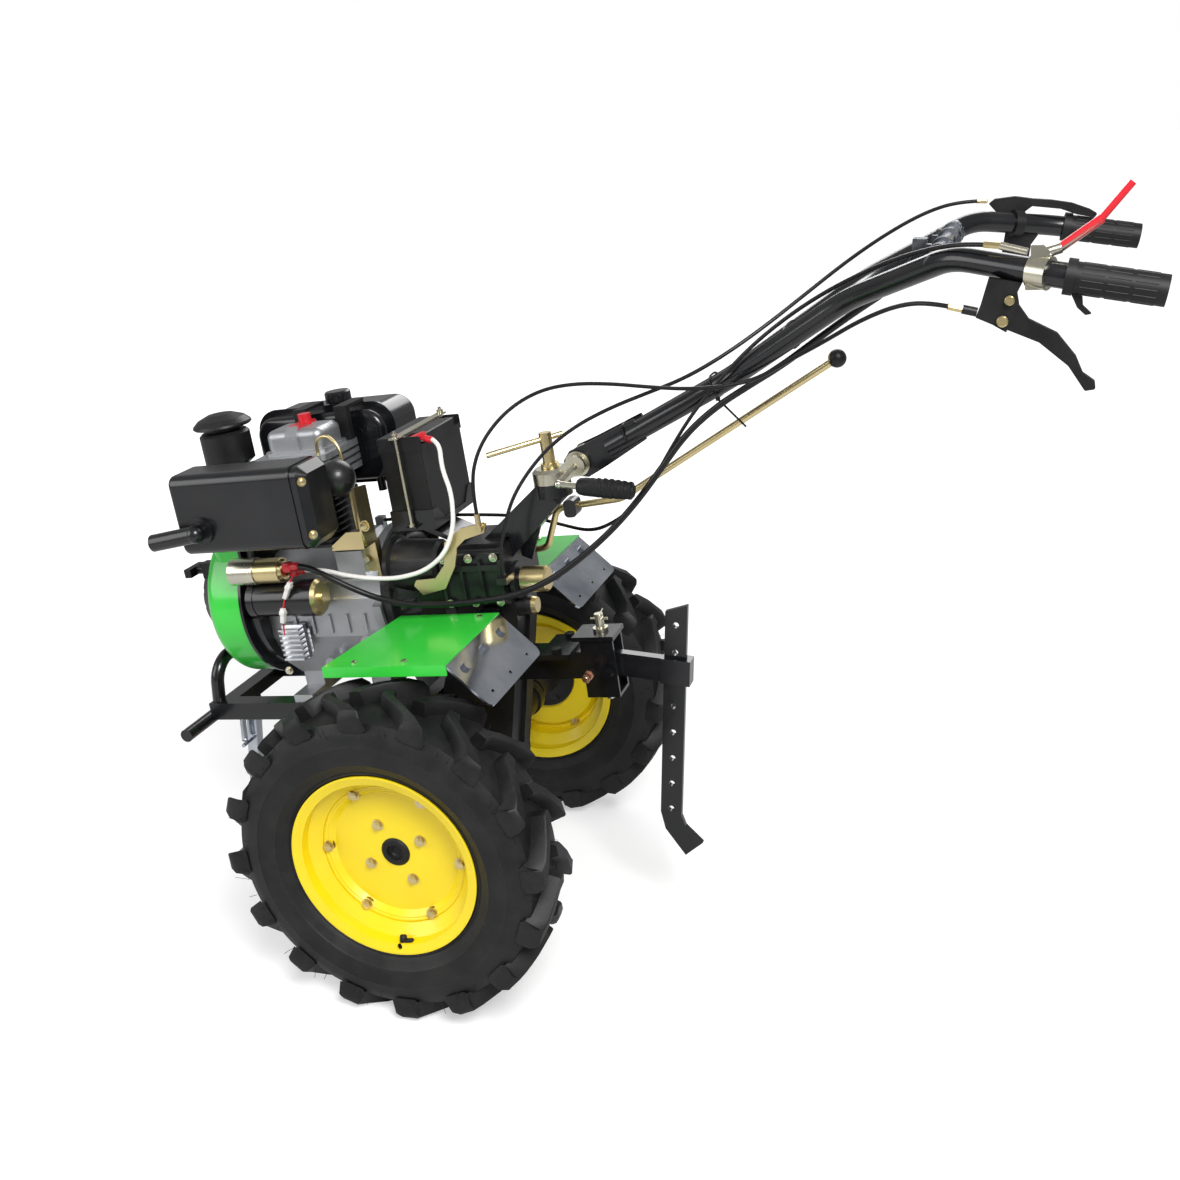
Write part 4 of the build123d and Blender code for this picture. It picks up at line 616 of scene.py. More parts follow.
def lathe(name: str, profile: Sequence[tuple[float, float]], origin: Vector, axis: Vector,
          steps: int) -> bpy.types.Mesh:
    """Turn a section of (radius, height) points, in metres, about an axis.

    Args:
        name: The mesh's name.
        profile: The section, which closes on itself if its ends aren't on the axis.
        origin: The axis's zero height.
        axis: The axis's direction.
        steps: Faces round it.

    Returns:
        The mesh.
    """
    turn = Matrix.Translation(origin) @ frame_along(axis)
    bm = bmesh.new()
    rings = [add_ring(bm, turn, radius, height, steps if radius else 1) for radius, height in profile]
    pairs = list(zip(rings, rings[1:]))
    if len(rings[0]) > 1:
        pairs.append((rings[-1], rings[0]))
    for low, high in pairs:
        for i in range(steps):
            j = (i + 1) % steps
            corners = (low[i % len(low)], low[j % len(low)], high[j % len(high)], high[i % len(high)])
            bm.faces.new(tuple(dict.fromkeys(corners)))
    return mesh_of(bm, name)


def sweep(name: str, line: Sequence[Vector], radius: float, sides: int) -> bpy.types.Mesh:
    """Sweep a circle along a line without twist.

    Args:
        name: The mesh's name.
        line: Points in metres.
        radius: The tube's radius, in metres.
        sides: Faces round it.

    Returns:
        A closed tube with flat ends.
    """
    bm = bmesh.new()
    rings = []
    side = None
    last = len(line) - 1
    for i, place in enumerate(line):
        tangent = (line[min(i + 1, last)] - line[max(i - 1, 0)]).normalized()
        if side is None:
            side = tangent.orthogonal().normalized()
        side = (side - tangent * side.dot(tangent)).normalized()
        up = tangent.cross(side)
        angles = (FULL_TURN * k / sides for k in range(sides))
        rings.append([bm.verts.new(place + radius * (math.cos(a) * side + math.sin(a) * up)) for a in angles])
    add_skin(bm, rings)
    return mesh_of(bm, name, 50)


def bend(name: str, mesh: bpy.types.Mesh, material: bpy.types.Material,
         bodies: tuple[Body, Body], node: str) -> None:
    """Make a piece that lies between two bodies and stands for a CAD node.

    Args:
        name: The piece's name.
        mesh: Its mesh, in the row frame.
        material: Its finish.
        bodies: The bodies at its two ends, which are only named in the log.
        node: The CAD node that it stands for.
    """
    mesh.materials.append(material)
    piece = link_object(name, mesh)
    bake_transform(piece)
    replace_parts(piece, node)
    LOG.info("piece %s from %s to %s, %d faces", name, bodies[0].value, bodies[1].value, len(mesh.polygons))


# Fasteners


@dataclass(frozen=True)
class Bolt:
    """A hexagon head with its washer.

    Attributes:
        seat: Where it seats, in metres.
        aim: The direction that it stands in.
        size: Half its width across corners, in metres.
    """

    seat: Vector
    aim: Vector
    size: float


@dataclass
class BoltSet:
    """All the bolt heads of one body and finish, made by one Geometry Nodes tree.

    The tree draws a head of radius 1, and each bolt's size scales it.
    """

    palette: Palette
    name: str
    finish: str
    body: Body
    bolts: list[Bolt] = field(default_factory=list)
    head_height: float = 0.7
    washer_radius: float = 1.3
    washer_height: float = 0.22
    crown_radii: tuple[float, float] = (0.86, 0.62)
    crown_height: float = 0.12
    lifts: Point = (0.11, 0.55, 0.88)

    def add(self, seat: Vector, aim: Vector, size: float) -> None:
        """Add one head, with its size in millimetres."""
        self.bolts.append(Bolt(seat, aim.normalized(), size * MM))

    def points(self) -> bpy.types.Mesh:
        """A mesh with one point for each head, which carries its direction and size.

        Returns:
            The mesh.
        """
        mesh = bpy.data.meshes.new(self.name + ".points")
        mesh.from_pydata([tuple(bolt.seat) for bolt in self.bolts], [], [])
        aims = [x for bolt in self.bolts for x in bolt.aim]
        mesh.attributes.new("aim", "FLOAT_VECTOR", "POINT").data.foreach_set("vector", aims)
        sizes = [bolt.size for bolt in self.bolts]
        mesh.attributes.new("size", "FLOAT", "POINT").data.foreach_set("value", sizes)
        return mesh

    def tree(self) -> bpy.types.NodeTree:
        """The tree that sets a washer, a hexagon and its crown on each point.

        Returns:
            The finished tree.
        """
        g = GeometryTree(self.name + " heads", self.palette[self.finish])
        g.inlet("Head Height", "NodeSocketFloat", self.head_height)
        g.inlet("Washer Radius", "NodeSocketFloat", self.washer_radius)
        washer = g.node("GeometryNodeMeshCylinder", {"Vertices": 20, "Depth": self.washer_height})
        g.link(g.entry.outputs["Washer Radius"], washer.inputs["Radius"])
        head = g.node("GeometryNodeMeshCylinder", {"Vertices": 6, "Radius": 1.0})
        g.link(g.entry.outputs["Head Height"], head.inputs["Depth"])
        low, high = self.crown_radii
        crown = g.node("GeometryNodeMeshCone", {
            "Vertices": 12, "Radius Top": high, "Radius Bottom": low, "Depth": self.crown_height})
        stack = g.node("GeometryNodeJoinGeometry")
        for part, lift in zip((washer, head, crown), self.lifts):
            move = g.node("GeometryNodeTransform", {"Translation": (0, 0, lift)})
            g.link(part.outputs["Mesh"], move.inputs["Geometry"])
            g.link(move.outputs["Geometry"], stack.inputs["Geometry"])
        named_aim = g.node("GeometryNodeInputNamedAttribute", {"Name": "aim"}, data_type="FLOAT_VECTOR")
        named_size = g.node("GeometryNodeInputNamedAttribute", {"Name": "size"}, data_type="FLOAT")
        align = g.node("FunctionNodeAlignRotationToVector", axis="Z")
        g.link(named_aim.outputs["Attribute"], align.inputs["Vector"])
        place = g.node("GeometryNodeInstanceOnPoints")
        g.link(g.entry.outputs["Geometry"], place.inputs["Points"])
        g.link(stack.outputs["Geometry"], place.inputs["Instance"])
        g.link(align.outputs["Rotation"], place.inputs["Rotation"])
        g.link(named_size.outputs["Attribute"], place.inputs["Scale"])
        return g.close(place.outputs["Instances"])

    def build(self) -> None:
        """Instance the heads on their points and make one piece of them."""
        piece = run_tree(self.name, self.points(), self.tree(), {})
        sharpen(piece.data, 30)
        mount(piece, self.body)


# Wheels


@dataclass(frozen=True)
class LugStation:
    """One section across a lug, from the tread's middle to its shoulder.

    Attributes:
        across: Its offset, as a share of the tyre's half width.
        lean: How far it leans back, as a share of the lug's lean.
        width: The lug's width there, in metres.
        top: Radius of its top, as a share of the tip radius.
    """

    across: float
    lean: float
    width: float
    top: float


LUG_STATIONS = (
    LugStation(-0.10, 0.0, 0.021, 1.0), LugStation(0.12, 0.05, 0.024, 1.0),
    LugStation(0.42, 0.40, 0.025, 1.0), LugStation(0.70, 0.78, 0.027, 0.995),
    LugStation(0.90, 0.98, 0.034, 0.985), LugStation(0.99, 1.0, 0.040, 0.955),
    LugStation(1.0, 1.0, 0.036, 0.925), LugStation(0.992, 1.0, 0.030, 0.885),
)


@dataclass
class Wheel:
    """One driving wheel: lugged tyre, mould hairs, bolts, hub plug and valve.

    Attributes:
        palette: The finishes.
        side: 1 for the left wheel, -1 for the right one.
        tip_radius: Radius over the lugs, in metres, as all lengths here are.
        carcass_radius: Radius of the tread between the lugs.
        half_width: Half the tyre's width.
        track: Distance between the two tyres' middle planes.
        lugs: Pairs of lugs.
        lug_lean: How far each lug leans back over its length, in degrees.
        hairs: Number of mould hairs.
        disc_y: The disc's outer face, outboard of the middle plane.
        dish: How far the rim bolts' seats stand out from it.
        disc_t: The disc's thickness.
        hub_bolts: Number and circle radius of the hub's bolts.
        rim_bolts: Number and circle radius of the rim's bolts.
        bolt_angle: Angle of the first bolt of each circle, in degrees.
        bolt_size: Half a head's width across corners, in millimetres.
    """

    palette: Palette
    side: int
    tip_radius: float = 0.2935
    carcass_radius: float = 0.268
    half_width: float = 0.0735
    track: float = 0.733
    lugs: int = 16
    lug_lean: float = 15.0
    hairs: int = 90
    disc_y: float = 0.007
    dish: float = 0.009
    disc_t: float = 0.005
    hub_bolts: tuple[int, float] = (4, 0.0555)
    rim_bolts: tuple[int, float] = (6, 0.122)
    bolt_angle: float = 57.0
    bolt_size: float = 8.0

    @property
    def body(self) -> Body:
        """The body that this wheel turns with."""
        return Body.WHEEL_LEFT if self.side > 0 else Body.WHEEL_RIGHT

    @property
    def label(self) -> str:
        """The side's name."""
        return "left" if self.side > 0 else "right"

    @property
    def outboard(self) -> Vector:
        """The direction away from the machine."""
        return Vector((0, self.side, 0))

    def spot(self, radius: float, angle: float, y: float) -> Vector:
        """A point on the wheel, from its radius, its angle from +Z and its offset outboard."""
        x, z = radius * math.sin(angle), radius * math.cos(angle)
        return Vector((AXLE_X * MM + x, self.side * (self.track / 2 + y), AXLE_Z * MM + z))

    def crown(self, y: float) -> float:
        """The carcass's radius under the tread at an offset from its middle."""
        return self.carcass_radius - 0.010 * (abs(y) / self.half_width) ** 2.6

    def add_piece(self, name: str, mesh: bpy.types.Mesh, finish: str = "Tyre rubber") -> bpy.types.Object:
        """Add a piece of this wheel.

        Args:
            name: The piece's name without its side.
            mesh: Its mesh.
            finish: Its finish.

        Returns:
            The piece.
        """
        return new_piece(f"{name}_{self.label}", mesh, self.palette[finish], self.body)

    def carcass_section(self) -> list[tuple[float, float]]:
        """The tyre's closed section.

        Returns:
            Radius and offset of each corner: bead, rings, sidewall and tread, then the inside.
        """
        w = self.half_width
        beads = (
            (0.1555, 0.63), (0.162, 0.70), (0.1675, 0.745), (0.171, 0.79), (0.1735, 0.775), (0.180, 0.86),
            (0.190, 0.92), (0.1925, 0.955), (0.1955, 0.945), (0.207, 0.975), (0.222, 0.985), (0.2245, 1.0),
            (0.2275, 0.985), (0.240, 0.955), (0.250, 0.90))
        outer = [(r, w * share) for r, share in beads]
        outer += [(self.crown(w * share), w * share) for share in (0.80, 0.55, 0.25)]
        inner = [(0.1555, w * 0.45), (0.20, w * 0.78), (0.235, w * 0.80)]
        far = [(r, -y) for r, y in reversed(outer)]
        back = [(r, -y) for r, y in inner]
        return outer + [(self.crown(0), 0.0)] + far + back + [(0.256, 0.0)] + list(reversed(inner))

    def build_carcass(self) -> None:
        """Revolve the tyre's section about the axle."""
        name = "tyre_body_" + self.label
        mesh = lathe(name, self.carcass_section(), self.spot(0, 0, 0), self.outboard, steps=120)
        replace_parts(self.add_piece("tyre_body", mesh), "tyre_" + self.label)

    def lug_ring(self, bm: bmesh.types.BMesh, station: LugStation, half: int, start: float) -> list:
        """Add one section of a lug.

        Args:
            bm: The bmesh.
            station: The section.
            half: 1 for the lug outboard, -1 for the one inboard.
            start: The lug's angle at the tread's middle.

        Returns:
            The section's points.
        """
        y = station.across * self.half_width
        lean = math.radians(self.lug_lean) * station.lean
        top = self.tip_radius * station.top
        low = min(self.crown(min(abs(y), self.half_width * 0.98)) - 0.004, top - 0.010)
        soft = top - 0.003
        ring = []
        for along, radius in ((-0.62, low), (-0.5, soft), (-0.40, top), (0.40, top), (0.5, soft), (0.62, low)):
            angle = start - lean + along * station.width / radius
            reach = y if radius > low else min(y, self.half_width * 0.93)
            ring.append(bm.verts.new(self.spot(radius, angle, half * reach)))
        return ring

    def lug_mesh(self) -> bpy.types.Mesh:
        """One pair of lugs, one on each side of the tread and half a pitch apart.

        Returns:
            Their mesh.
        """
        bm = bmesh.new()
        for half, start in ((1, 0.0), (-1, math.pi / self.lugs)):
            add_skin(bm, [self.lug_ring(bm, station, half, start) for station in LUG_STATIONS])
        return mesh_of(bm, "lug_pair", None)

    def lug_tree(self) -> bpy.types.NodeTree:
        """The tree that repeats the pair of lugs about the axle.

        Returns:
            The finished tree.
        """
        g = GeometryTree("Lug ring " + self.label, self.palette["Tyre rubber"])
        g.inlet("Count", "NodeSocketInt", self.lugs)
        g.inlet("Axle X", "NodeSocketFloat", 0.0)
        g.inlet("Axle Z", "NodeSocketFloat", 0.0)
        centre = g.node("ShaderNodeCombineXYZ")
        g.link(g.entry.outputs["Axle X"], centre.inputs["X"])
        g.link(g.entry.outputs["Axle Z"], centre.inputs["Z"])
        back = g.node("ShaderNodeVectorMath", {"Scale": -1.0}, operation="SCALE")
        g.link(centre.outputs[0], back.inputs[0])
        shift = g.node("GeometryNodeTransform")
        g.link(g.entry.outputs["Geometry"], shift.inputs["Geometry"])
        g.link(back.outputs[0], shift.inputs["Translation"])
        points = g.node("GeometryNodeMeshLine", {"Offset": (0, 0, 0)})
        g.link(g.entry.outputs["Count"], points.inputs["Count"])
        g.link(centre.outputs[0], points.inputs["Start Location"])
        index = g.node("GeometryNodeInputIndex")
        step = g.node("ShaderNodeMath", {0: FULL_TURN}, operation="DIVIDE")
        g.link(g.entry.outputs["Count"], step.inputs[1])
        angle = g.node("ShaderNodeMath", operation="MULTIPLY")
        g.link(index.outputs[0], angle.inputs[0])
        g.link(step.outputs[0], angle.inputs[1])
        turn = g.node("ShaderNodeCombineXYZ")
        g.link(angle.outputs[0], turn.inputs["Y"])
        place = g.node("GeometryNodeInstanceOnPoints")
        g.link(points.outputs["Mesh"], place.inputs["Points"])
        g.link(shift.outputs["Geometry"], place.inputs["Instance"])
        g.link(turn.outputs[0], place.inputs["Rotation"])
        return g.close(place.outputs["Instances"])

    def build_lugs(self) -> None:
        """Repeat the pair of lugs round the tyre."""
        sizes = {"Count": self.lugs, "Axle X": AXLE_X * MM, "Axle Z": AXLE_Z * MM}
        piece = run_tree("tyre_lugs_" + self.label, self.lug_mesh(), self.lug_tree(), sizes)
        sharpen(piece.data, 32)
        mount(piece, self.body)

    def build_hairs(self) -> None:
        """Add thin hairs left by the mould's vents, at seeded places on the shoulders."""
        rng = random.Random(12 + self.side)
        bm = bmesh.new()
        for i in range(self.hairs):
            angle = FULL_TURN * (i + rng.random() * 0.7) / self.hairs
            half = 1 if i % 3 else -1
            y = half * self.half_width * rng.uniform(0.88, 0.97)
            radius = rng.uniform(0.236, 0.262)
            root = self.spot(radius, angle, y)
            tip_radius, tip_angle = radius + rng.uniform(0.012, 0.024), angle + rng.uniform(-0.03, 0.03)
            tip_y = half * min(abs(y) + rng.uniform(0.001, 0.006), self.half_width)
            add_rod(bm, root, self.spot(tip_radius, tip_angle, tip_y), 0.00045, sides=4)
        self.add_piece("mould_hairs", mesh_of(bm, "mould_hairs_" + self.label, None))

    def build_bolts(self) -> None:
        """Add bolt heads on the disc's outer face and the rim bolts' nuts behind it."""
        bolts = BoltSet(self.palette, "wheel_bolts_" + self.label, "Yellow chromate", self.body)
        for (count, radius), seat in ((self.hub_bolts, self.disc_y), (self.rim_bolts, self.disc_y + self.dish)):
            for i in range(count):
                angle = math.pi / 2 - math.radians(self.bolt_angle + 360 * i / count)
                bolts.add(self.spot(radius, angle, seat), self.outboard, self.bolt_size)
                if seat > self.disc_y:
                    bolts.add(self.spot(radius, angle, seat - self.disc_t), -self.outboard, self.bolt_size)
        bolts.build()

    def build_hub_plug(self) -> None:
        """Add the black collar in the disc's centre hole."""
        steps = (
            (0.0, -4), (0.008, -4), (0.010, -1), (0.014, -1), (0.015, 4), (0.0225, 4), (0.026, 1), (0.026, 0.2),
            (0.0, -8))
        section = [(r, self.disc_y + height * MM) for r, height in steps]
        mesh = lathe("hub_plug_" + self.label, section, self.spot(0, 0, 0), self.outboard, steps=40)
        self.add_piece("hub_plug", mesh, "Black rubber")

    def build_valve(self) -> None:
        """Add the tyre's valve and its cap."""
        angle = math.pi / 2 + math.radians(99)
        stem_start, stem_end = self.spot(0.140, angle, 0.040), self.spot(0.153, angle, 0.046)
        cap_start, cap_end = self.spot(0.150, angle + 0.02, 0.0445), self.spot(0.150, angle + 0.13, 0.0445)
        bm = bmesh.new()
        add_rod(bm, stem_start, stem_end, 0.0062, sides=16)
        add_rod(bm, cap_start, cap_end, 0.0050, sides=12)
        self.add_piece("valve", mesh_of(bm, "valve_" + self.label, None), "Black rubber")

    def build(self) -> None:
        """Build the whole wheel."""
        self.build_carcass()
        self.build_lugs()
        self.build_hairs()
        self.build_bolts()
        self.build_hub_plug()
        self.build_valve()


# Cables


@dataclass(frozen=True)
class CableRun:
    """A control cable between the handlebar and the chassis, split where it passes the swivel yoke.

    Attributes:
        node: The CAD node that it stands for.
        points: The route, in millimetres in the parked frame.
        radius: Its radius, in millimetres.
        split: Index of the route point at the yoke.
    """

    node: str
    points: tuple[Point, ...]
    radius: float
    split: int


RUNS = (
    CableRun("clutch_cable", (
        (-826, 292, 1226), (-790, 290, 1232), (-745, 262, 1224), (-690, 222, 1194), (-632, 170, 1150),
        (-575, 122, 1110), (-520, 84, 1070), (-462, 62, 1050), (-400, 62, 1042), (-340, 64, 1042),
        (-280, 68, 1044), (-220, 76, 1042), (-166, 84, 1030), (-118, 92, 1002), (-80, 100, 962), (-56, 109, 916),
        at_level(-138, 116, 556), at_level(-138, 116, 506.3)), 3.2, 11),
    CableRun("brake_cable", (
        (-820, -296, 1314), (-780, -284, 1313), (-730, -250, 1298), (-676, -198, 1268), (-620, -136, 1228),
        (-566, -76, 1182), (-510, -22, 1134), (-452, 16, 1090), (-394, 40, 1054), (-334, 50, 1028),
        (-276, 58, 1002), (-220, 66, 970), (-172, 74, 930), (-136, 82, 884), (-110, 90, 836), (-97, 94, 782),
        at_level(-158, 95, 432), at_level(-158, 95, 384.3)), 3.2, 11),
    CableRun("throttle_cable", (
        (-865, 290, 1308), (-825, 276, 1308), (-778, 240, 1296), (-726, 192, 1274), (-672, 142, 1244),
        (-616, 94, 1208), (-560, 62, 1166), (-504, 50, 1116), (-452, 48, 1056), (-410, 46, 998), (-376, 45, 938),
        (-346, 38, 880), (-312, 20, 828), (-266, -6, 784), (-214, -34, 752), at_level(-222, -60, 426),
        at_level(-168, -70, 440), at_level(-108, -76, 447), at_level(-48, -80, 450), at_level(8, -83, 452),
        at_level(62, -84, 452), at_level(112, -84, 450.5), at_level(149.7, -84, 450)), 3.2, 11),
    CableRun("wire_harness", (
        (-748, 60, 1269), (-716, 61, 1218), (-664, 62, 1180), (-610, 60, 1136), (-556, 56, 1090), (-502, 52, 1052),
        (-450, 52, 1014), (-404, 55, 968), (-366, 60, 910), (-330, 70, 854), (-288, 86, 800), (-238, 102, 750),
        (-184, 114, 706), (-124, 122, 676), (-60, 126, 660), (4, 132, 648), (68, 138, 642), (126, 144, 650),
        at_level(112, 156, 398), at_level(152, 164, 426), at_level(190, 158, 442), at_level(221.7, 158, 442.2)),
        5.5, 9),
)


@dataclass
class Cables:
    """The control cables and the wire harness, as curved tubes.

    Attributes:
        palette: The finishes.
        sides: Faces round a tube.
        reach: Route points from the split to each end of a half; the end points found from it are not used.
        steps: Line points that NURBS makes between two route points.
    """

    palette: Palette
    sides: int = 10
    reach: int = 4
    steps: int = 7

    def path(self, run: CableRun) -> list[Vector]:
        """The points of a run's NURBS line, as Blender gives them.

        Args:
            run: The run.

        Returns:
            Its points, in metres.
        """
        curve = bpy.data.curves.new(run.node + ".route", "CURVE")
        curve.dimensions = "3D"
        spline = curve.splines.new("NURBS")
        spline.points.add(len(run.points) - 1)
        for point, place in zip(spline.points, run.points):
            point.co = (*parked(*place), 1.0)
        spline.order_u = 3
        spline.use_endpoint_u = True
        spline.resolution_u = self.steps
        holder = link_object(run.node + ".route", curve)
        mesh = bpy.data.meshes.new_from_object(holder)
        line = [v.co.copy() for v in mesh.vertices]
        bpy.data.objects.remove(holder)
        bpy.data.meshes.remove(mesh)
        return line

    def build_run(self, run: CableRun) -> None:
        """Build one run as two tubes: from the handlebar to the yoke, and from the yoke to the chassis.

        Args:
            run: The run.
        """
        line = self.path(run)
        first, waist, last = (parked(*run.points[run.split + step]) for step in (-self.reach, 0, self.reach))
        cut = min(range(len(line)), key=lambda i: (line[i] - waist).length)
        halves = (
            ("upper", line[:cut + 1], (Body.HANDLEBAR, Body.SWIVEL), (first, line[cut])),
            ("lower", line[cut:], (Body.SWIVEL, Body.CHASSIS), (line[cut], last)))
        for part, points, bodies, ends in halves:
            name = f"{run.node}_{part}"
            mesh = sweep(name, points, run.radius * MM, self.sides)
            bend(name, mesh, self.palette["Cable sheath"], bodies, run.node)

    def build(self) -> None:
        """Build every run."""
        for run in RUNS:
            self.build_run(run)


@dataclass
class StandSprings:
    """Two coil springs between the front frame and the folding stand.

    Attributes:
        palette: The finishes.
        x: Where they hang, in millimetres in the row frame, as the other lengths here are.
        low: Height of the lower end.
        high: Height of the upper end.
        gap: Offset of each spring from the middle.
        coil_radius: Radius of the coil's middle line.
        wire: Radius of the wire.
        tail: Length of the straight end.
        eye: Height between an end and the coil.
        turns: Turns of the coil.
        steps: Line points in a turn.
        sides: Faces round the wire.
    """

    palette: Palette
    x: float = 755.156
    low: float = 246.318
    high: float = 308.902
    gap: float = 26.0
    coil_radius: float = 5.3
    wire: float = 1.15
    tail: float = 3.0
    eye: float = 4.0
    turns: int = 13
    steps: int = 12
    sides: int = 6

    def line(self, y: float) -> list[Vector]:
        """One spring's line from its lower end to its upper end, in metres.

        Args:
            y: The spring's offset from the middle, in millimetres.

        Returns:
            The points of the line.
        """
        count = self.turns * self.steps
        places = [(0.0, 0.0, self.low), (0.0, 0.0, self.low + self.tail)]
        for i in range(count + 1):
            a = FULL_TURN * i / self.steps
            z = self.low + self.eye + (self.high - self.low - 2 * self.eye) * i / count
            places.append((self.coil_radius * math.cos(a), self.coil_radius * math.sin(a), z))
        places += [(0.0, 0.0, self.high - self.tail), (0.0, 0.0, self.high)]
        return [Vector((self.x + dx, y + dy, z)) * MM for dx, dy, z in places]

    def build(self) -> None:
        """Build both springs, with straight tails at each end."""
        for side, label in ((1, "left"), (-1, "right")):
            line = self.line(side * self.gap)
            name = "stand_spring_" + label
            mesh = sweep(name, line, self.wire * MM, self.sides)
            bend(name, mesh, self.palette["Bright plate"], (Body.CHASSIS, Body.STAND),
                 "stand_springs")


# Finishes of the CAD nodes

Test = Callable[[Vector], bool]


@dataclass(frozen=True)
class FaceRule:
    """Another finish for some faces of a CAD node.

    Attributes:
        finish: The faces' finish.
        test: Whether a face's centre, in millimetres on the parked machine, is one of them.
    """

    finish: str
    test: Test


def near(x: float, y: float, z: float, reach: float) -> Test:
    """A test for faces near a level chassis point."""
    return lambda p: (to_level(p) - Vector((x, y, z))).length < reach


NODE_FINISHES = {
    "Black plastic": "air_filter battery brake_lever clutch_lever recoil_starter",
    "Black casting": "axle_tubes clutch_housing cylinder exhaust_manifold gearbox hub_left hub_right",
    "Black paint": (
        "battery_tray column depth_stake drag_bar front_frame fuel_tank guard_carriers handlebar_clamp "
        "handlebar_tubes hitch_box shroud_trim starter_motor"),
    "Zinc plating": "battery_clamp clamp_crank hitch_pin starter_solenoid swivel_yoke throttle_lever",
    "Yellow chromate": "clutch_arm fuel_pipe muffler_bracket selector_cap shift_rod swivel_lock_lever",
    "Bright plate": "cross_bar front_stand rear_plates",
    "Cast aluminium": "crankcase cylinder_head rocker_cover",
    "Machined aluminium": "regulator",
    "Black rubber": "crank_grip grips tank_straps",
    "Green paint": "fan_shroud mudguards",
    "Muffler enamel": "muffler",
    "White sheath": "battery_lead",
    "Yellow rim paint": "rim_left rim_right",
}

POST_REACH = 13
FACE_RULES = {
    "battery": FaceRule("Machined aluminium", lambda p: any(near(12, y, 640, POST_REACH)(p) for y in (-98, 44))),
    "rocker_cover": FaceRule("Red plastic", lambda p: to_level(p).z > 662.5),
    "selector_cap": FaceRule("Black casting", lambda p: to_level(p).x > -176),
    "shift_rod": FaceRule("Black plastic", lambda p: p.x < -615),
    "starter_motor": FaceRule("Yellow chromate", lambda p: to_level(p).x < 196),
    "starter_solenoid": FaceRule("Yellow chromate", lambda p: to_level(p).x < 290),
    "throttle_lever": FaceRule("Red plastic", lambda p: p.z > 1322),
}


class CadDresser:
    """Gives every CAD node its finish."""

    def __init__(self, palette: Palette, nodes: dict[str, list[bpy.types.Object] | bpy.types.Object]) -> None:
        """Keep the palette and the loaded nodes.

        Args:
            palette: The finishes.
            nodes: The CAD nodes by name.
        """
        self.palette = palette
        self.nodes = nodes

    def dress(self, node: str, finish: str) -> None:
        """Give one node its finish and the finishes of its faces.

        Args:
            node: The node's name.
            finish: Its main finish.
        """
        found = self.nodes[node]
        rule = FACE_RULES.get(node)
        for piece in found if isinstance(found, (list, tuple)) else [found]:
            materials = piece.data.materials
            materials.clear()
            materials.append(self.palette[finish])
            if rule is None:
                continue
            materials.append(self.palette[rule.finish])
            for face in piece.data.polygons:
                centre = (piece.matrix_world @ face.center) / MM - Vector((AXLE_X, 0, 0))
                face.material_index = int(rule.test(centre))

    def build(self) -> None:
        """Dress every node."""
        for finish, nodes in NODE_FINISHES.items():
            for node in nodes.split():
                self.dress(node, finish)
        LOG.info("dressed the CAD nodes, of %d", len(self.nodes))


# Small parts


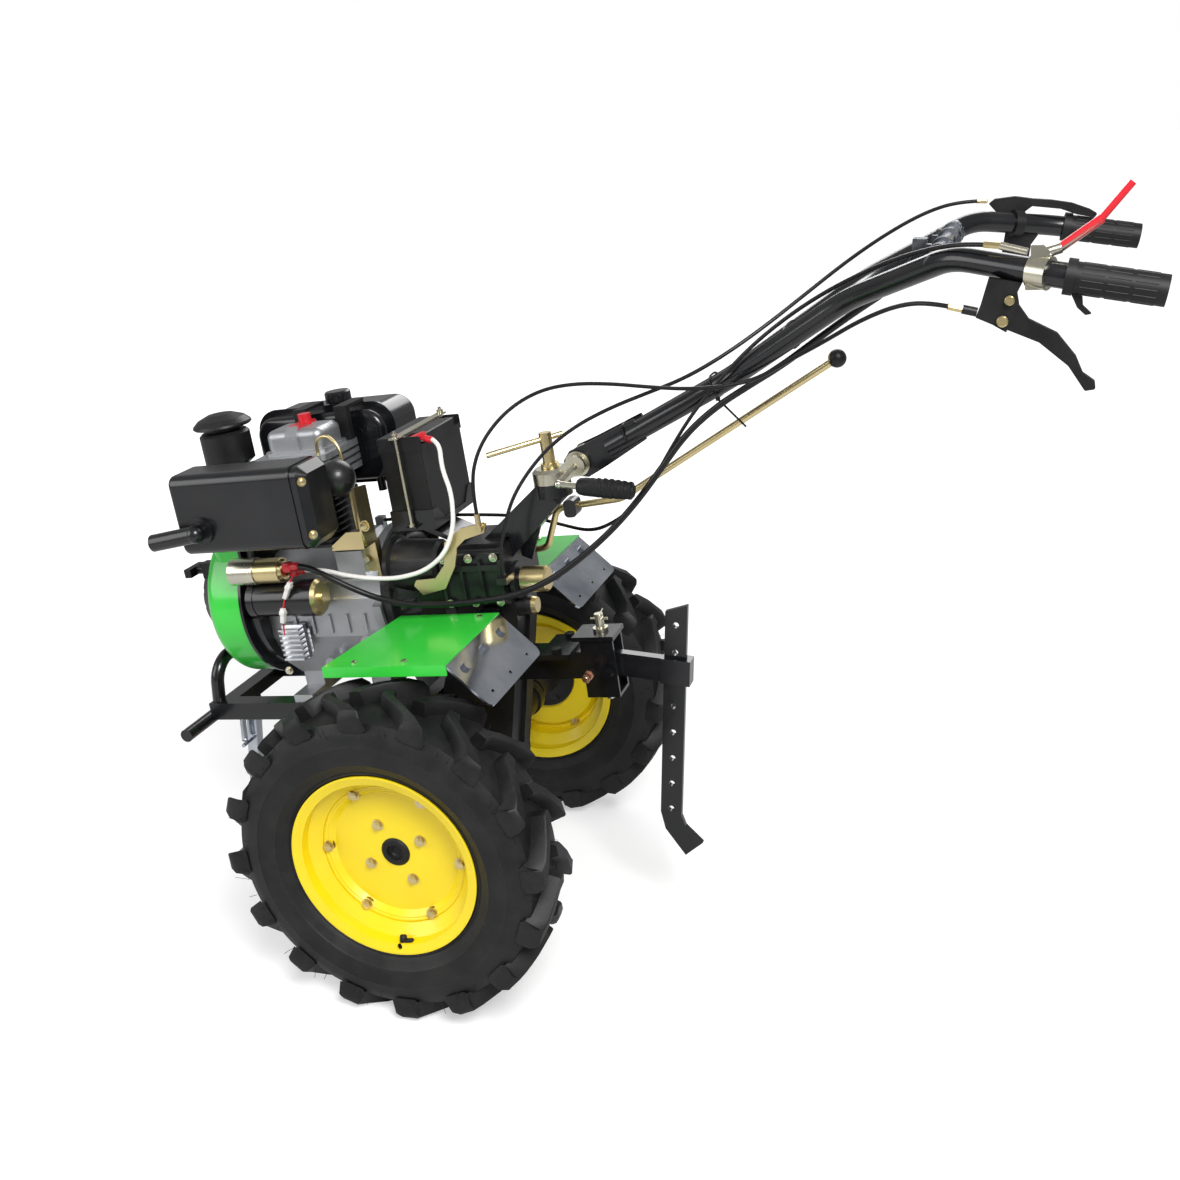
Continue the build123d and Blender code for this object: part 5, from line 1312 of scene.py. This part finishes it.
@dataclass
class EngineBolts:
    """Bolt heads of the engine, gearbox, muffler and guards, with lengths in millimetres.

    Attributes:
        palette: The finishes.
        size: Half a head's width across corners.
        shroud_size: The same for the fan shroud's heads.
        bracket_size: The same for the muffler bracket's head.
        shroud_count: Heads round the fan shroud.
        shroud_radius: Radius of their circle.
        shroud_x: Where the shroud's face is.
        shroud_z: Height of its centre.
        gearbox_y: Offset of the gearbox's side faces.
        cover_y: Where the crankcase's side cover is.
        guard_y: Offset of the guards' outer edges.
        carrier_y: Offset of the guards' inner ends.
        guard_z: Height of the guards' top.
    """

    palette: Palette
    size: float = 6.0
    shroud_size: float = 5.5
    bracket_size: float = 7.5
    shroud_count: int = 6
    shroud_radius: float = 118.0
    shroud_x: float = 428.0
    shroud_z: float = 345.0
    gearbox_y: float = 87.0
    cover_y: float = 108.0
    guard_y: float = 322.0
    carrier_y: float = 124.0
    guard_z: float = 320.0

    def muffler(self, bolts: BoltSet) -> None:
        """Add the muffler's seam bolts along its outer face, and its bracket's bolt.

        Args:
            bolts: The set that they join.
        """
        for z in (520, 612):
            bolts.add(level(111, 234, z), level_aim(-1, 0.9, 0), self.size)
        bolts.add(parked(142, 142, 782), Vector((0, 1, 0)), self.bracket_size)

    def shroud(self, bolts: BoltSet) -> None:
        """Add the bolts round the fan shroud.

        Args:
            bolts: The set that they join.
        """
        for i in range(self.shroud_count):
            a = math.radians(30 + 360 * i / self.shroud_count)
            y, z = self.shroud_radius * math.sin(a), self.shroud_z + self.shroud_radius * math.cos(a)
            bolts.add(level(self.shroud_x, y, z), level_aim(1, 0, 0), self.shroud_size)

    def gearbox(self, bolts: BoltSet) -> None:
        """Add the bolts of the gearbox's two side covers.

        Args:
            bolts: The set that they join.
        """
        for x, z in ((-140, 336), (-140, 418), (-92, 418), (-44, 418), (-92, 336), (-44, 336)):
            for side in (1, -1):
                bolts.add(level(x, side * self.gearbox_y, z), Vector((0, side, 0)), self.size)

    def crankcase(self, bolts: BoltSet) -> None:
        """Add the bolts of the crankcase's side cover.

        Args:
            bolts: The set that they join.
        """
        for x, z in ((96, 222), (200, 218), (306, 222), (96, 430), (306, 430)):
            bolts.add(level(x, self.cover_y, z), Vector((0, 1, 0)), self.size)

    def guards(self, bolts: BoltSet) -> None:
        """Add the bolts through the mudguards.

        Args:
            bolts: The set that they join.
        """
        for side in (1, -1):
            for x, y in ((-60, self.guard_y), (32, self.guard_y), (-112, self.carrier_y)):
                bolts.add(level(x, side * y, self.guard_z), level_aim(0, 0, 1), self.size)

    def build(self) -> None:
        """Make all the bolt heads of the chassis."""
        silver = BoltSet(self.palette, "chassis_bolts", "Zinc plating", Body.CHASSIS)
        for step in (self.shroud, self.gearbox, self.crankcase, self.guards):
            step(silver)
        silver.build()
        gold = BoltSet(self.palette, "muffler_bolts", "Yellow chromate", Body.CHASSIS)
        self.muffler(gold)
        gold.build()


@dataclass
class Fittings:
    """Boots, connectors, ties, rivets and clips that the CAD frame leaves out.

    Attributes:
        palette: The finishes.
        boot_turn: How far the battery's boot leans past the chassis, in radians.
        boot_size: Sizes of the battery's boot, in metres, as the other lengths here are.
        stud_boot_size: Sizes of a solenoid boot.
        plug_size: Width and thickness of a connector.
        plug_rim: Sizes of its rim.
        wire: Radius of a connector's wire.
        tie_loop: Height of a tie's loop above the tubes' middle.
        tie_band: Thickness and width of a tie.
        tie_steps: Straight parts of a tie's loop.
        crank_ribs: Ribs of the crank's grip.
        crank_radius: Radius of its middle ribs.
        crank_pitch: Distance from rib to rib, in millimetres.
        crank_rib: Length of a rib, in millimetres.
        grip_count: Ribs round a hand grip.
        grip_radius: Radius of their circle.
        grip_rib: Radius of a rib.
        clip: Radius of the hitch clip's wire.
    """

    palette: Palette
    boot_turn: float = 0.25
    boot_size: Point = (0.030, 0.018, 0.013)
    stud_boot_size: Point = (0.018, 0.017, 0.018)
    plug_size: tuple[float, float] = (0.011, 0.008)
    plug_rim: Point = (0.014, 0.010, 0.008)
    wire: float = 0.0016
    tie_loop: float = 0.0185
    tie_band: tuple[float, float] = (0.0016, 0.0036)
    tie_steps: int = 24
    crank_ribs: int = 8
    crank_radius: float = 0.0172
    crank_pitch: float = 11.0
    crank_rib: float = 7.5
    grip_count: int = 14
    grip_radius: float = 0.0197
    grip_rib: float = 0.0011
    clip: float = 0.0012

    def piece(self, name: str, finish: str, body: Body, slot: Slot, fill: Fill, degrees: float = 35.0) -> None:
        """Make one piece from a function that fills a bmesh.

        Args:
            name: The piece's name.
            finish: Its finish.
            body: What it rides on.
            slot: Not used.
            fill: The function.
            degrees: Edges bent more than this are sharp.
        """
        bm = bmesh.new()
        fill(bm)
        new_piece(name, mesh_of(bm, name, degrees), self.palette[finish], body)

    def battery_boot(self, bm: bmesh.types.BMesh) -> None:
        """Fill the boot over the battery's terminal.

        Args:
            bm: The bmesh.
        """
        turn = Matrix.Rotation(LEAN + self.boot_turn, 4, "Y")
        add_block(bm, level(-19, 44, 631), self.boot_size, turn, 0.004)
        add_rod(bm, level(-30, 44.5, 628), level(-48, 45.5, 624), 0.0062)

    def stud_boots(self, bm: bmesh.types.BMesh) -> None:
        """Fill the boots over the solenoid's studs.

        Args:
            bm: The bmesh.
        """
        turn = Matrix.Rotation(LEAN, 4, "Y")
        studs = ((158, 442, 0.0075), (140, 428, 0.0065))
        for y, z, _ in studs:
            add_block(bm, level(225, y, z), self.stud_boot_size, turn, 0.005)
        for y, z, radius in studs:
            add_rod(bm, level(219, y, z), level(202, y, z), radius)

    def connectors(self, bm: bmesh.types.BMesh) -> None:
        """Fill the plug connectors on the starter's and the regulator's wires.

        Args:
            bm: The bmesh.
        """
        for start, end in (((281, 171, 672), (294, 171, 640)), ((300, 171, 620), (302, 171, 592))):
            a, b = parked(*start), parked(*end)
            turn = frame_along(b - a)
            add_block(bm, (a + b) / 2, (*self.plug_size, (b - a).length), turn, 0.0015)
            add_block(bm, a + (b - a) * 0.3, self.plug_rim, turn, 0.0015)

    def connector_wires(self, bm: bmesh.types.BMesh) -> None:
        """Fill the short wires between the connectors.

        Args:
            bm: The bmesh.
        """
        for start, end in (
                ((294, 171, 642), (300, 171, 618)), ((276, 168, 684), (282, 171, 670)),
                ((302, 171, 594), (304, 168, 566))):
            add_rod(bm, parked(*start), parked(*end), self.wire, 8)

    def lever_parts(self, bm: bmesh.types.BMesh) -> None:
        """Fill the pivot rivets and the brass cable fittings of the hand levers.

        Args:
            bm: The bmesh.
        """
        for x, z, radius in ((-885, 1242, 0.0064), (-879, 1215, 0.0073)):
            add_rod(bm, parked(x, 303, z), parked(x, 309.5, z), radius, 20)
        for start, end, radius, sides in (
                ((-808, 291.5, 1229), (-832, 292.5, 1225.5), 0.0052, 6),
                ((-832, 292.5, 1225.5), (-842, 293, 1224), 0.0036, 12),
                ((-806, -293, 1314), (-824, -298, 1314), 0.0048, 6),
                ((-845, 283, 1308), (-868, 291, 1308), 0.0048, 6)):
            add_rod(bm, parked(*start), parked(*end), radius, sides)

    def tie(self, bm: bmesh.types.BMesh, centre: Vector, half_width: float) -> None:
        """Fill one tie's loop round both handlebar tubes.

        Args:
            bm: The bmesh.
            centre: The loop's centre, in metres.
            half_width: Half its width.
        """
        loop = []
        for i in range(self.tie_steps):
            a = FULL_TURN * i / self.tie_steps
            up = Vector((0.54, 0, 0.84)) * (self.tie_loop * math.sin(a))
            out = half_width * math.copysign(abs(math.cos(a)) ** 0.6, math.cos(a))
            loop.append(centre + Vector((0, out, 0)) + up)
        for start, end in zip(loop, loop[1:] + loop[:1]):
            size = (*self.tie_band, (end - start).length * 1.15)
            add_block(bm, (start + end) / 2, size, frame_along(end - start), 0.0004)

    def ties(self, bm: bmesh.types.BMesh) -> None:
        """Fill the cable ties, the first of them with a long tail.

        Args:
            bm: The bmesh.
        """
        self.tie(bm, parked(-440, 0, 1040), 0.0375)
        add_rod(bm, parked(-452, 36, 1022), parked(-501, 52, 986), 0.0018, 8)
        add_block(bm, parked(-450, 36, 1024), (0.007, 0.006, 0.006))
        self.tie(bm, parked(-294, 0, 949), 0.0375)
        self.tie(bm, parked(-560, 0, 1128), 0.066)

    def crank_grip(self, bm: bmesh.types.BMesh) -> None:
        """Fill the ribs round the clamp crank's rubber grip.

        Args:
            bm: The bmesh.
        """
        middle = (self.crank_ribs - 1) / 2
        for i in range(self.crank_ribs):
            x = -240 - self.crank_pitch * i
            radius = self.crank_radius - 0.0006 * abs(i - middle)
            add_rod(bm, parked(x, 90, 873.5), parked(x - self.crank_rib, 90, 873.5), radius, 14)

    def grips(self, bm: bmesh.types.BMesh) -> None:
        """Fill the lengthwise ribs of both hand grips.

        Args:
            bm: The bmesh.
        """
        for side in (1, -1):
            a, b = parked(-1064, side * 312, 1264.3), parked(-952, side * 306.6, 1275.3)
            turn = frame_along(b - a)
            for k in range(self.grip_count):
                angle = FULL_TURN * k / self.grip_count
                off = turn @ (Vector((math.cos(angle), math.sin(angle), 0)) * self.grip_radius)
                for start, end in ((0.06, 0.30), (0.34, 0.58), (0.62, 0.86)):
                    add_rod(bm, a + (b - a) * start + off, a + (b - a) * end + off, self.grip_rib, 6)

    def hitch_screw(self, bm: bmesh.types.BMesh) -> None:
        """Fill the hitch's clamp screw: head, shank and nut.

        Args:
            bm: The bmesh.
        """
        for start, end, radius, sides in ((47, 60, 0.0095, 6), (60, 76, 0.0050, 16), (68, 75, 0.0085, 6)):
            add_rod(bm, parked(-238, start, 514), parked(-238, end, 514), radius, sides)

    def hitch_clip(self, bm: bmesh.types.BMesh) -> None:
        """Fill the hitch pin's clip.

        Args:
            bm: The bmesh.
        """
        places = ((0, 606), (18, 606), (22, 618), (2, 622))
        for start, end in zip(places, places[1:]):
            add_rod(bm, parked(-246, *start), parked(-246, *end), self.clip, 8)

    def build(self) -> None:
        """Build every fitting."""
        chassis, handlebar = Body.CHASSIS, Body.HANDLEBAR
        self.piece("battery_boot", "Red plastic", chassis, Slot.PLASTIC, self.battery_boot)
        self.piece("solenoid_boots", "Red plastic", chassis, Slot.PLASTIC, self.stud_boots)
        self.piece("wire_connectors", "White sheath", chassis, Slot.PLASTIC, self.connectors)
        self.piece("connector_wires", "Red plastic", chassis, Slot.RUBBER, self.connector_wires)
        self.piece("lever_rivets", "Yellow chromate", handlebar, Slot.GOLD, self.lever_parts)
        self.piece("cable_ties", "Black plastic", handlebar, Slot.PLASTIC, self.ties)
        self.piece("crank_grip_ribs", "Black rubber", handlebar, Slot.RUBBER, self.crank_grip, 20)
        self.piece("grip_ribs", "Black rubber", handlebar, Slot.RUBBER, self.grips)
        self.piece("hitch_screw", "Copper plating", chassis, Slot.ZINC, self.hitch_screw)
        self.piece("hitch_clip", "Zinc plating", chassis, Slot.ZINC, self.hitch_clip)


# Studio


def aim_object(thing: bpy.types.Object, place: Vector, look: Vector) -> None:
    """Put a camera or a light somewhere and turn it to look along a direction.

    Args:
        thing: The camera or light.
        place: Where it goes, in metres.
        look: The direction.
    """
    thing.location = place
    thing.rotation_mode = "QUATERNION"
    thing.rotation_quaternion = look.to_track_quat("-Z", "Y")


@dataclass
class Studio:
    """Pale floor, soft lights and the camera.

    Attributes:
        lens: The camera's focal length, in millimetres.
        spot: Where the camera stands, in metres.
        yaw: How far it turns from -Y towards +X, in degrees.
        pitch: How far it looks down, in degrees.
        floor_size: Side of the floor, in metres.
        floor_grey: The floor's colour.
        lift_near: Strength of the floor's own light near the machine, for the camera only.
        lift_far: The same far from it.
        fade_from: Distance at which the near strength ends, in metres.
        fade_to: Distance at which the far strength starts.
        ambient: Strength of the world's light.
        target: What the lights face.
    """

    lens: float = 40.9
    spot: Point = (-0.657, 2.121, 1.514)
    yaw: float = 17.9
    pitch: float = 21.1
    floor_size: float = 80.0
    floor_grey: float = 0.62
    lift_near: float = 0.45
    lift_far: float = 0.9
    fade_from: float = 0.9
    fade_to: float = 4.5
    ambient: float = 0.34
    target: Point = (0.2, 0, 0.6)

    def camera(self) -> None:
        """Place the camera."""
        data = bpy.data.cameras.new("camera")
        data.lens = self.lens
        data.sensor_width = 36.0
        data.clip_end = 120
        yaw, pitch = math.radians(self.yaw), math.radians(self.pitch)
        look = Vector((math.sin(yaw) * math.cos(pitch), -math.cos(yaw) * math.cos(pitch), -math.sin(pitch)))
        bpy.context.scene.camera = link_object("camera", data)
        aim_object(bpy.context.scene.camera, Vector(self.spot), look)

    def floor_material(self) -> bpy.types.Material:
        """A pale material that the camera sees fade into the white background.

        Returns:
            The material.
        """
        material = bpy.data.materials.new("Floor")
        material.use_nodes = True
        tree = material.node_tree
        shader = tree.nodes["Principled BSDF"]
        set_inputs(shader, {
            "Base Color": (*[self.floor_grey] * 3, 1), "Roughness": 0.9, "Specular IOR Level": 0.1,
            "Emission Color": (1, 1, 1, 1)})
        path = tree.nodes.new("ShaderNodeLightPath")
        place = tree.nodes.new("ShaderNodeTexCoord")
        reach = tree.nodes.new("ShaderNodeVectorMath")
        reach.operation = "LENGTH"
        fade = tree.nodes.new("ShaderNodeMapRange")
        fade.interpolation_type = "SMOOTHSTEP"
        set_inputs(fade, {
            "From Min": self.fade_from, "From Max": self.fade_to,
            "To Min": self.lift_near, "To Max": self.lift_far})
        lift = tree.nodes.new("ShaderNodeMath")
        lift.operation = "MULTIPLY"
        tree.links.new(place.outputs["Object"], reach.inputs[0])
        tree.links.new(reach.outputs["Value"], fade.inputs["Value"])
        tree.links.new(path.outputs["Is Camera Ray"], lift.inputs[0])
        tree.links.new(fade.outputs["Result"], lift.inputs[1])
        tree.links.new(lift.outputs[0], shader.inputs["Emission Strength"])
        return material

    def floor(self) -> None:
        """Lay the floor."""
        mesh = bpy.data.meshes.new("floor")
        h = self.floor_size / 2
        mesh.from_pydata([(-h, -h, 0), (h, -h, 0), (h, h, 0), (-h, h, 0)], [], [(0, 1, 2, 3)])
        mesh.materials.append(self.floor_material())
        link_object("floor", mesh)

    def light(self, name: str, place: Point, size: float, power: float) -> None:
        """Add one soft area light that faces the machine.

        Args:
            name: The light's name.
            place: Where it stands, in metres.
            size: Its side, in metres.
            power: Its power, in watts.
        """
        data = bpy.data.lights.new(name, "AREA")
        data.shape = "SQUARE"
        data.size = size
        data.energy = power
        aim_object(link_object(name, data), Vector(place), Vector(self.target) - Vector(place))

    def world(self) -> None:
        """Give pale even light, with a white background for the camera."""
        world = bpy.data.worlds.new("studio")
        world.use_nodes = True
        tree = world.node_tree
        background = tree.nodes["Background"]
        path = tree.nodes.new("ShaderNodeLightPath")
        strength = tree.nodes.new("ShaderNodeMix")
        strength.data_type = "FLOAT"
        set_inputs(strength, {"A": self.ambient, "B": 1.0})
        tree.links.new(path.outputs["Is Camera Ray"], strength.inputs["Factor"])
        tree.links.new(strength.outputs["Result"], background.inputs["Strength"])
        set_inputs(background, {"Color": (1, 1, 1, 1)})
        bpy.context.scene.world = world

    def build(self) -> None:
        """Build the whole studio."""
        self.camera()
        self.floor()
        self.world()
        self.light("key", (-1.6, 2.6, 3.6), 1.6, 200)
        self.light("fill", (3.2, 2.4, 2.0), 2.4, 60)
        self.light("back", (0.5, -3.2, 3.0), 2.4, 70)
        bpy.context.scene.view_settings.view_transform = "Standard"


def main() -> None:
    """Build the studio, dress the CAD frame, and add the pieces that it leaves out."""
    logging.basicConfig(level=logging.INFO, format="%(name)s: %(message)s")
    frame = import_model()
    palette = Palette()
    CadDresser(palette, frame["nodes"]).build()
    for side in (1, -1):
        Wheel(palette, side).build()
    Cables(palette).build()
    StandSprings(palette).build()
    EngineBolts(palette).build()
    Fittings(palette).build()
    Studio().build()


if __name__ == "__main__":
    main()
